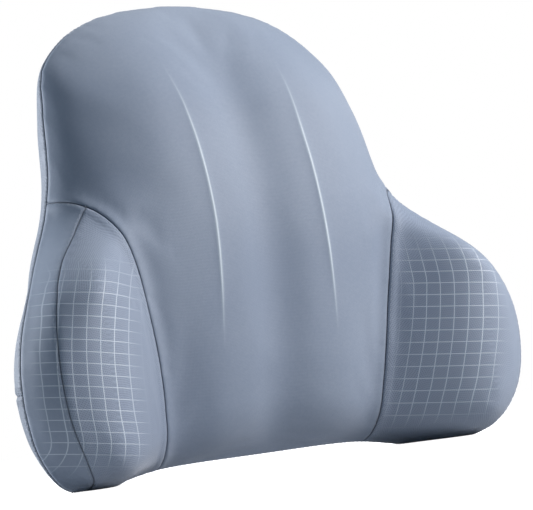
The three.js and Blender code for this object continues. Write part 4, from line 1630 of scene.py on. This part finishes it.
@dataclass
class Graph:
    """A node tree that is being filled in."""

    tree: bpy.types.NodeTree

    def node(self, kind: str, **settings: object) -> bpy.types.Node:
        """Adds a node with these properties."""
        made = self.tree.nodes.new(kind)
        for name, value in settings.items():
            setattr(made, name, value)
        return made

    def feed(self, target: Socket, source: Socket | float | Sequence[float]) -> None:
        """Links a socket to its source, or sets its value."""
        if isinstance(source, bpy.types.NodeSocket):
            self.tree.links.new(source, target)
        else:
            target.default_value = source

    def math(self, operation: str, *values: Socket | float) -> Socket:
        """Adds a Math node over these values."""
        made = self.node("ShaderNodeMath", operation=operation)
        for target, value in zip(made.inputs, values):
            self.feed(target, value)
        return made.outputs[0]

    def ramp(self, value: Socket, low: float, high: float, smooth: bool = True) -> Socket:
        """Maps low to 0 and high to 1, clamped."""
        made = self.node("ShaderNodeMapRange")
        made.interpolation_type = "SMOOTHSTEP" if smooth else "LINEAR"
        self.feed(made.inputs["Value"], value)
        made.inputs["From Min"].default_value = low
        made.inputs["From Max"].default_value = high
        return made.outputs["Result"]

    def blend_colour(
        self, share: Socket | float, first: Socket | Colour, second: Socket | Colour,
        mode: str = "MIX",
    ) -> Socket:
        """Mixes two colours."""
        made = self.node("ShaderNodeMix", data_type="RGBA", blend_type=mode)
        self.feed(made.inputs[0], share)
        for target, colour in ((made.inputs[6], first), (made.inputs[7], second)):
            plain = isinstance(colour, tuple)
            self.feed(target, (*colour, 1.0) if plain else colour)
        return made.outputs[2]

    def noise(self, vector: Socket, scale: float | Socket, detail: float = 2.0) -> Socket:
        """Adds a noise texture and returns its value."""
        made = self.node("ShaderNodeTexNoise")
        made.inputs["Detail"].default_value = detail
        self.feed(made.inputs["Vector"], vector)
        self.feed(made.inputs["Scale"], scale)
        return made.outputs["Fac"]

    def bump(self, height: Socket, strength: float, distance: float) -> Socket:
        """Turns a height into a normal; the distance is in millimetres."""
        made = self.node("ShaderNodeBump")
        made.inputs["Strength"].default_value = strength
        made.inputs["Distance"].default_value = distance * MM
        self.feed(made.inputs["Height"], height)
        return made.outputs[0]

    def split(self, vector: Socket) -> tuple[Socket, Socket]:
        """The first two parts of a vector."""
        made = self.node("ShaderNodeSeparateXYZ")
        self.feed(made.inputs[0], vector)
        return made.outputs[0], made.outputs[1]


@dataclass(frozen=True)
class Effect:
    """A shader node group that several finishes share."""

    name: str
    inputs: tuple[tuple[str, str], ...]
    outputs: tuple[str, ...]
    fill: Callable[[Graph, dict[str, Socket]], dict[str, Socket]]

    def group(self) -> bpy.types.NodeTree:
        """The group, made when it is first asked for."""
        found = bpy.data.node_groups.get(self.name)
        if found:
            return found
        tree = bpy.data.node_groups.new(self.name, "ShaderNodeTree")
        for name, kind in self.inputs:
            tree.interface.new_socket(name, in_out="INPUT", socket_type=f"NodeSocket{kind}")
        for name in self.outputs:
            tree.interface.new_socket(name, in_out="OUTPUT", socket_type="NodeSocketFloat")
        graph = Graph(tree)
        source, target = graph.node("NodeGroupInput"), graph.node("NodeGroupOutput")
        made = self.fill(graph, {name: source.outputs[name] for name, _ in self.inputs})
        for name, socket in made.items():
            graph.feed(target.inputs[name], socket)
        return tree

    def place(self, graph: Graph, **values: Socket | float) -> dict[str, Socket]:
        """Places the group in a material.

        Args:
            graph: The material's graph.
            values: A value or source for each of the group's inputs.

        Returns:
            The group's outputs by name.
        """
        made = graph.node("ShaderNodeGroup")
        made.node_tree = self.group()
        for name, value in values.items():
            graph.feed(made.inputs[name], value)
        return {name: made.outputs[name] for name in self.outputs}


def fill_tone(graph: Graph, given: dict[str, Socket]) -> dict[str, Socket]:
    """Soft, uneven tone: broad clouds with a little fine mottling."""
    broad = graph.noise(given["Vector"], given["Scale"], 2.0)
    fine = graph.noise(given["Vector"], graph.math("MULTIPLY", given["Scale"], 40.0), 3.0)
    total = graph.math("ADD", graph.math("MULTIPLY", broad, 0.72), graph.math("MULTIPLY", fine, 0.28))
    return {"Tone": total}


def fill_knit(graph: Graph, given: dict[str, Socket]) -> dict[str, Socket]:
    """Fine knitted loops: slanted legs that meet in columns."""
    u, v = graph.split(given["Vector"])
    column = graph.math("DIVIDE", u, given["Pitch"])
    slant = graph.math("ABSOLUTE", graph.math("SUBTRACT", graph.math("FRACT", column), 0.5))
    row = graph.math("DIVIDE", v, given["Pitch"])
    phase = graph.math("ADD", row, graph.math("MULTIPLY", slant, 1.1))
    legs = graph.math("SINE", graph.math("MULTIPLY", phase, 2 * math.pi))
    groove = graph.ramp(slant, 0.03, 0.16)
    height = graph.math("MULTIPLY", graph.math("MULTIPLY_ADD", legs, 0.5, 0.5), groove)
    return {"Height": height}


def fill_mesh(graph: Graph, given: dict[str, Socket]) -> dict[str, Socket]:
    """Spacer mesh: rows of small oval openings, each row set off by half."""
    u, v = graph.split(given["Vector"])
    row = graph.math("DIVIDE", v, given["Pitch"])
    offset = graph.math("MULTIPLY", graph.math("FLOOR", row), 0.5)
    column = graph.math("ADD", graph.math("DIVIDE", u, given["Pitch"]), offset)
    across = graph.math("SUBTRACT", graph.math("FRACT", column), 0.5)
    up = graph.math("SUBTRACT", graph.math("FRACT", row), 0.5)
    squared = graph.math("ADD", graph.math("MULTIPLY", across, across),
                         graph.math("MULTIPLY", up, up))
    distance = graph.math("SQRT", squared)
    return {"Openings": graph.math("SUBTRACT", 1.0, graph.ramp(distance, 0.2, 0.38)),
            "Height": graph.ramp(distance, 0.12, 0.5)}


def fill_check(graph: Graph, given: dict[str, Socket]) -> dict[str, Socket]:
    """Thin lines both ways, wherever a coordinate is a whole number."""
    masks = []
    for part in graph.split(given["Vector"]):
        away = graph.math("ABSOLUTE", graph.math(
            "SUBTRACT", graph.math("FRACT", graph.math("ADD", part, 0.5)), 0.5))
        near = graph.math("SUBTRACT", 1.0, graph.ramp(
            graph.math("DIVIDE", away, given["Width"]), 0.3, 1.0))
        masks.append(near)
    return {"Lines": graph.math("MAXIMUM", *masks)}


def fill_webbing(graph: Graph, given: dict[str, Socket]) -> dict[str, Socket]:
    """Webbing: a herringbone of ribs along the strap."""
    along, across = graph.split(given["Vector"])
    rib = graph.math("DIVIDE", across, given["Pitch"])
    lean = graph.math("ABSOLUTE", graph.math("SUBTRACT", graph.math("FRACT", rib), 0.5))
    phase = graph.math("ADD", graph.math("DIVIDE", along, given["Pitch"]),
                       graph.math("MULTIPLY", lean, 1.6))
    picks = graph.math("SINE", graph.math("MULTIPLY", phase, 4 * math.pi))
    ridge = graph.ramp(lean, 0.02, 0.2)
    return {"Height": graph.math("MULTIPLY", graph.math("MULTIPLY_ADD", picks, 0.4, 0.6), ridge)}


def fill_grain(graph: Graph, given: dict[str, Socket]) -> dict[str, Socket]:
    """Fine spark grain of a mould, with sparse deeper pits."""
    fine = graph.noise(given["Vector"], given["Scale"], 4.0)
    pits = graph.node("ShaderNodeTexVoronoi")
    graph.feed(pits.inputs["Vector"], given["Vector"])
    graph.feed(pits.inputs["Scale"], given["Scale"])
    height = graph.math("ADD", fine, graph.math("MULTIPLY", pits.outputs["Distance"], 0.5))
    return {"Height": height, "Speck": graph.ramp(fine, 0.42, 0.62)}


def fill_wear(graph: Graph, given: dict[str, Socket]) -> dict[str, Socket]:
    """Rubbed edges: convex places, broken up by noise."""
    edge = graph.ramp(graph.node("ShaderNodeNewGeometry").outputs["Pointiness"], 0.52, 0.60)
    patches = graph.ramp(graph.noise(given["Vector"], given["Scale"], 3.0), 0.40, 0.62)
    return {"Wear": graph.math("MULTIPLY", edge, patches)}


TONE = Effect("cloth_tone", (("Vector", "Vector"), ("Scale", "Float")), ("Tone",), fill_tone)
KNIT = Effect("knit_loops", (("Vector", "Vector"), ("Pitch", "Float")), ("Height",), fill_knit)
MESH = Effect("spacer_mesh", (("Vector", "Vector"), ("Pitch", "Float")),
              ("Openings", "Height"), fill_mesh)
CHECK = Effect("pale_check", (("Vector", "Vector"), ("Width", "Float")), ("Lines",), fill_check)
WEBBING = Effect("webbing_ribs", (("Vector", "Vector"), ("Pitch", "Float")),
                 ("Height",), fill_webbing)
GRAIN = Effect("mould_grain", (("Vector", "Vector"), ("Scale", "Float")),
               ("Height", "Speck"), fill_grain)
WEAR = Effect("edge_wear", (("Vector", "Vector"), ("Scale", "Float")), ("Wear",), fill_wear)


def start_material(
    name: str, **shader: float | Colour,
) -> tuple[Material, Graph, bpy.types.Node]:
    """Makes a material with its own Principled shader.

    Args:
        name: The material's name.
        shader: Values for the shader's sockets, with underscores for spaces.

    Returns:
        The material, its graph and the shader node.
    """
    material = bpy.data.materials.new(name)
    material.use_nodes = True
    graph = Graph(material.node_tree)
    principled = material.node_tree.nodes["Principled BSDF"]
    for key, value in shader.items():
        socket = principled.inputs[key.replace("_", " ")]
        socket.default_value = (*value, 1.0) if isinstance(value, tuple) else value
    return material, graph, principled


def darker(colour: Colour, share: float) -> Colour:
    """The colour times a share."""
    return tuple(part * share for part in colour)


@dataclass(frozen=True)
class PanelCloth:
    """Cloth of the cover: knit or spacer mesh, with check lines where they are woven in, a painted
    crest highlight and painted shade.
    """

    name: str
    base: Colour
    shade: Colour
    is_mesh: bool
    pitch: float
    check_line: Colour = (0.62, 0.70, 0.80)
    check_width: float = 0.052
    check_strength: float = 0.62
    # Colour of the painted highlight along the crests.
    crest_highlight_colour: Colour = (0.72, 0.83, 0.92)
    bump: float = 0.25
    depth: float = 0.25
    sheen: float = 0.35
    roughness: float = 0.62
    roughness_spread: float = 0.18
    openings_dark: float = 0.45
    # Strength of the painted shade in the knit's hollows.
    knit_hollow_shade: float = 0.16
    # Strength of the painted highlight along the crests.
    crest_highlight_strength: float = 0.75
    seam_strength: float = 0.72

    def material(self) -> Material:
        """Builds the finish."""
        made, graph, shader = start_material(
            self.name, Roughness=self.roughness, Sheen_Weight=self.sheen, Sheen_Roughness=0.42,
            Sheen_Tint=(0.82, 0.88, 1.0), Specular_IOR_Level=0.28)
        cloth = graph.node("ShaderNodeUVMap", uv_map="cloth").outputs[0]
        place = graph.node("ShaderNodeTexCoord").outputs["Object"]
        tone = TONE.place(graph, Vector=place, Scale=9.0)["Tone"]
        colour = graph.blend_colour(graph.ramp(tone, 0.30, 0.70), self.shade, self.base)
        if self.is_mesh:
            weave = MESH.place(graph, Vector=cloth, Pitch=self.pitch * MM)
            openings = graph.math("MULTIPLY", weave["Openings"], self.openings_dark)
            colour = graph.blend_colour(openings, colour, darker(self.shade, 0.45))
        else:
            weave = KNIT.place(graph, Vector=cloth, Pitch=self.pitch * MM)
            # Painted shade: the knit's low places are darkened.
            low = graph.math("SUBTRACT", 1.0, weave["Height"])
            hollow = graph.math("MULTIPLY", low, self.knit_hollow_shade)
            colour = graph.blend_colour(hollow, colour, darker(self.shade, 0.6))
        check = graph.node("ShaderNodeUVMap", uv_map="check").outputs[0]
        lines = CHECK.place(graph, Vector=check, Width=self.check_width)["Lines"]
        fade = graph.node("ShaderNodeAttribute", attribute_name="check_fade").outputs["Fac"]
        shown = graph.math("MULTIPLY", graph.math("MULTIPLY", lines, fade), self.check_strength)
        colour = graph.blend_colour(shown, colour, self.check_line)
        # Painted highlight along the crests.
        crest = graph.node("ShaderNodeAttribute", attribute_name="painted_crest_highlight").outputs["Fac"]
        highlight_share = graph.math("MULTIPLY", crest, self.crest_highlight_strength)
        colour = graph.blend_colour(highlight_share, colour, self.crest_highlight_colour)
        seam = graph.node("ShaderNodeAttribute", attribute_name="seam_shade").outputs["Fac"]
        dark = graph.math("MULTIPLY", seam, self.seam_strength)
        colour = graph.blend_colour(dark, colour, darker(self.shade, 0.25))
        graph.feed(shader.inputs["Base Color"], colour)
        uneven = graph.math("SUBTRACT", tone, 0.5)
        rough = graph.math("MULTIPLY_ADD", uneven, self.roughness_spread, self.roughness)
        graph.feed(shader.inputs["Roughness"], rough)
        graph.feed(shader.inputs["Normal"], graph.bump(weave["Height"], self.bump, self.depth))
        return made


@dataclass(frozen=True)
class PlainCloth:
    """Cloth without panel attributes: liner, foam, tape, webbing and thread."""

    name: str
    base: Colour
    shade: Colour
    effect: Effect
    pitch: float
    from_uv: bool = False
    bump: float = 0.4
    depth: float = 0.3
    roughness: float = 0.8
    sheen: float = 0.15

    def material(self) -> Material:
        """Builds the finish."""
        made, graph, shader = start_material(
            self.name, Roughness=self.roughness, Sheen_Weight=self.sheen,
            Specular_IOR_Level=0.3)
        place = graph.node("ShaderNodeTexCoord").outputs["Object"]
        cloth = graph.node("ShaderNodeUVMap", uv_map="cloth").outputs[0] if self.from_uv else place
        by_pitch = "Pitch" in dict(self.effect.inputs)
        size = {"Pitch": self.pitch * MM} if by_pitch else {"Scale": 1 / (self.pitch * MM)}
        weave = self.effect.place(graph, Vector=cloth, **size)
        height = weave.get("Height") or weave["Tone"]
        tone = TONE.place(graph, Vector=place, Scale=30.0)["Tone"]
        # Painted shade in the low places of the weave or grain, mixed with random tone.
        lit = graph.math("MULTIPLY_ADD", height, 0.6, graph.math("MULTIPLY", tone, 0.4))
        colour = graph.blend_colour(graph.ramp(lit, 0.15, 0.75), self.shade, self.base)
        graph.feed(shader.inputs["Base Color"], colour)
        rough = graph.math("MULTIPLY_ADD", tone, 0.12, self.roughness - 0.06)
        graph.feed(shader.inputs["Roughness"], rough)
        graph.feed(shader.inputs["Normal"], graph.bump(height, self.bump, self.depth))
        return made


@dataclass(frozen=True)
class HardFinish:
    """Moulded plastic, nylon or metal, with grain and rubbed edges."""

    name: str
    base: Colour
    worn: Colour
    metallic: float
    roughness: float
    grain: float
    bump: float
    depth: float = 0.08
    speck_strength: float = 0.22
    wear_strength: float = 0.7

    def material(self) -> Material:
        """Builds the finish."""
        made, graph, shader = start_material(
            self.name, Metallic=self.metallic, Roughness=self.roughness)
        place = graph.node("ShaderNodeTexCoord").outputs["Object"]
        grain = GRAIN.place(graph, Vector=place, Scale=1 / (self.grain * MM))
        wear = WEAR.place(graph, Vector=place, Scale=420.0)["Wear"]
        speck = graph.math("MULTIPLY", grain["Speck"], self.speck_strength)
        colour = graph.blend_colour(speck, self.base, self.worn)
        rubbed = graph.math("MULTIPLY", wear, self.wear_strength)
        colour = graph.blend_colour(rubbed, colour, self.worn)
        graph.feed(shader.inputs["Base Color"], colour)
        rough = graph.math("MULTIPLY_ADD", grain["Speck"], 0.14, self.roughness - 0.04)
        rough = graph.math("SUBTRACT", rough, graph.math("MULTIPLY", wear, 0.12))
        graph.feed(shader.inputs["Roughness"], rough)
        graph.feed(shader.inputs["Normal"], graph.bump(grain["Height"], self.bump, self.depth))
        return made


class Finishes:
    """Every finish of the cushion, built once."""

    def __init__(self) -> None:
        """Builds the materials."""
        self.knit = PanelCloth(
            "blue_grey_knit", (0.252, 0.305, 0.402), (0.210, 0.262, 0.360), False, 1.15).material()
        self.mesh = PanelCloth(
            "blue_grey_spacer_mesh", (0.266, 0.322, 0.425), (0.218, 0.270, 0.372), True,
            1.7, bump=0.45, sheen=0.3).material()
        self.back_mesh = PanelCloth(
            "back_spacer_mesh", (0.262, 0.300, 0.375), (0.212, 0.250, 0.325), True,
            2.1, bump=0.5, sheen=0.3, check_strength=0.0).material()
        self.thread = PlainCloth(
            "seam_thread", (0.30, 0.35, 0.44), (0.20, 0.24, 0.32), GRAIN, 0.4).material()
        self.strap_thread = PlainCloth(
            "strap_thread", (0.16, 0.18, 0.23), (0.09, 0.10, 0.13), GRAIN, 0.4).material()
        self.liner = PlainCloth(
            "white_liner", (0.80, 0.82, 0.84), (0.70, 0.72, 0.75), GRAIN, 0.8).material()
        self.foam = PlainCloth(
            "cream_foam", (0.84, 0.80, 0.68), (0.74, 0.69, 0.56), GRAIN, 1.1,
            depth=0.5).material()
        self.webbing = PlainCloth(
            "ribbed_webbing", (0.068, 0.078, 0.100), (0.022, 0.026, 0.036), WEBBING, 1.9,
            from_uv=True, bump=0.8, roughness=0.72).material()
        self.zip_tape = PlainCloth(
            "woven_zip_tape", (0.135, 0.160, 0.205), (0.075, 0.092, 0.125), WEBBING, 0.9,
            from_uv=True, bump=0.6).material()
        self.zip_coil = HardFinish(
            "nylon_coil", (0.080, 0.098, 0.135), (0.19, 0.22, 0.28), 0.0, 0.38, 0.5,
            0.15).material()
        self.zip_metal = HardFinish(
            "nickel_zip_metal", (0.50, 0.52, 0.55), (0.74, 0.75, 0.77), 1.0, 0.30, 0.9,
            0.25).material()
        self.plastic = HardFinish(
            "moulded_black_plastic", (0.016, 0.018, 0.021), (0.075, 0.080, 0.088), 0.0, 0.42,
            0.7, 0.5).material()


# ------------------------------------------------------------------ studio


@dataclass(frozen=True)
class AreaLamp:
    """A soft rectangular lamp, placed in metres and aimed at the cushion."""

    name: str
    place: Place
    size: float
    watts: float
    colour: Colour = (1.0, 1.0, 1.0)

    def build(self, target: Vector) -> None:
        """Adds the lamp, turned to its target."""
        data = bpy.data.lights.new(self.name, "AREA")
        data.shape = "DISK"
        data.size = self.size
        data.energy = self.watts
        data.color = self.colour
        lamp = bpy.data.objects.new(self.name, data)
        lamp.location = self.place
        lamp.rotation_euler = (target - Vector(self.place)).to_track_quat("-Z", "Y").to_euler()
        bpy.context.scene.collection.objects.link(lamp)


@dataclass
class Studio:
    """A pale floor, soft lamps, a pale surround and the camera."""

    target: Place = (0.0, 0.01545, 0.191)
    yaw: float = 34.0
    elevation: float = -5.337
    roll: float = 7.515
    distance: float = 1.7157
    lens: float = 141.1
    aim_right: float = 0.01774
    aim_down: float = 0.010656
    surround: float = 0.19
    floor_size: float = 60.0
    floor_drop: float = 0.0002
    floor_lift: float = 0.96
    lamps: tuple[AreaLamp, ...] = (
        AreaLamp("key", (1.08, -1.12, 1.0), 0.7, 40.0, (1.0, 0.935, 0.88)),
        AreaLamp("top", (0.25, 0.15, 1.5), 0.8, 6.0),
        AreaLamp("rim", (-0.85, 1.25, 0.45), 0.7, 26.0, (0.95, 0.97, 1.0)),
    )

    def build(self) -> None:
        """Sets up everything that isn't part of the cushion."""
        self._camera()
        self._surround()
        self._floor()
        for lamp in self.lamps:
            lamp.build(Vector(self.target))
        bpy.context.scene.view_settings.view_transform = "Standard"

    def _camera(self) -> None:
        """Adds the camera, low and to the viewer's left of the front."""
        yaw, rise, roll = (math.radians(a) for a in (self.yaw, self.elevation, self.roll))
        back = Vector((-math.sin(yaw) * math.cos(rise), -math.cos(yaw) * math.cos(rise),
                       math.sin(rise)))
        level_right = Vector((math.cos(yaw), -math.sin(yaw), 0))
        level_up = back.cross(level_right)
        right = level_right * math.cos(roll) - level_up * math.sin(roll)
        up = level_up * math.cos(roll) + level_right * math.sin(roll)
        ahead = (-back + right * self.aim_right - up * self.aim_down).normalized()
        right = (right - ahead * right.dot(ahead)).normalized()
        up = right.cross(ahead)
        data = bpy.data.cameras.new("camera")
        data.lens = self.lens
        camera = bpy.data.objects.new("camera", data)
        turned = Matrix((right, up, -ahead)).transposed().to_4x4()
        camera.matrix_world = Matrix.Translation(Vector(self.target) + back * self.distance) @ turned
        bpy.context.scene.collection.objects.link(camera)
        bpy.context.scene.camera = camera

    def _surround(self) -> None:
        """Makes the surround white to look at and dimmer as a light."""
        world = bpy.data.worlds.new("surround")
        world.use_nodes = True
        graph = Graph(world.node_tree)
        shown = world.node_tree.nodes["Background"]
        shown.inputs["Strength"].default_value = 1.0
        shown.inputs["Color"].default_value = (1.0, 1.0, 1.0, 1.0)
        light = graph.node("ShaderNodeBackground")
        light.inputs["Color"].default_value = (0.62, 0.83, 1.0, 1.0)
        light.inputs["Strength"].default_value = self.surround
        seen = graph.node("ShaderNodeLightPath").outputs["Is Camera Ray"]
        mix = graph.node("ShaderNodeMixShader")
        graph.feed(mix.inputs[0], seen)
        graph.feed(mix.inputs[1], light.outputs[0])
        graph.feed(mix.inputs[2], shown.outputs[0])
        graph.feed(world.node_tree.nodes["World Output"].inputs["Surface"], mix.outputs[0])
        bpy.context.scene.world = world

    def _floor(self) -> None:
        """Lays a wide pale floor that fades into the surround."""
        deselect_all()
        bpy.ops.mesh.primitive_plane_add(size=self.floor_size, location=(0, 0, -self.floor_drop))
        floor = bpy.context.object
        floor.name = "studio_floor"
        material, graph, shader = start_material(
            "pale_floor", Base_Color=(0.55, 0.56, 0.57), Roughness=0.9)
        shader.inputs["Emission Color"].default_value = (1.0, 1.0, 1.0, 1.0)
        seen = graph.node("ShaderNodeLightPath").outputs["Is Camera Ray"]
        lift = graph.math("MULTIPLY", seen, self.floor_lift)
        graph.feed(shader.inputs["Emission Strength"], lift)
        floor.data.materials.append(material)


# ------------------------------------------------------------------ main


def main() -> None:
    """Builds the cushion's sub-assemblies in order."""
    logging.basicConfig(level=logging.INFO, format="%(message)s", stream=sys.stdout)
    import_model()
    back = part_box("back_panel_upper")[1].y / MM
    form = CushionForm(back_plane=back)
    seams = {
        "main": SeamLine(MAIN_SEAM_SHARES, form, outside_turns=-1),
        "crest": SeamLine(CREST_SEAM_SHARES, form, outside_turns=1),
    }
    finishes = Finishes()
    Studio().build()
    body = SoftBody(form, seams).build()
    Filling(finishes).build(body)
    cover = Cover(form, seams, finishes)
    cover.build(body)
    SeamStitches(cover, finishes).build()
    Zip(finishes).build()
    for level in Level:
        low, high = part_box(f"{level.value}_buckle_socket")
        BackStrap(level, (low.z + high.z) / 2 / MM, back, finishes).build()
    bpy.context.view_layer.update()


if __name__ == "__main__":
    main()
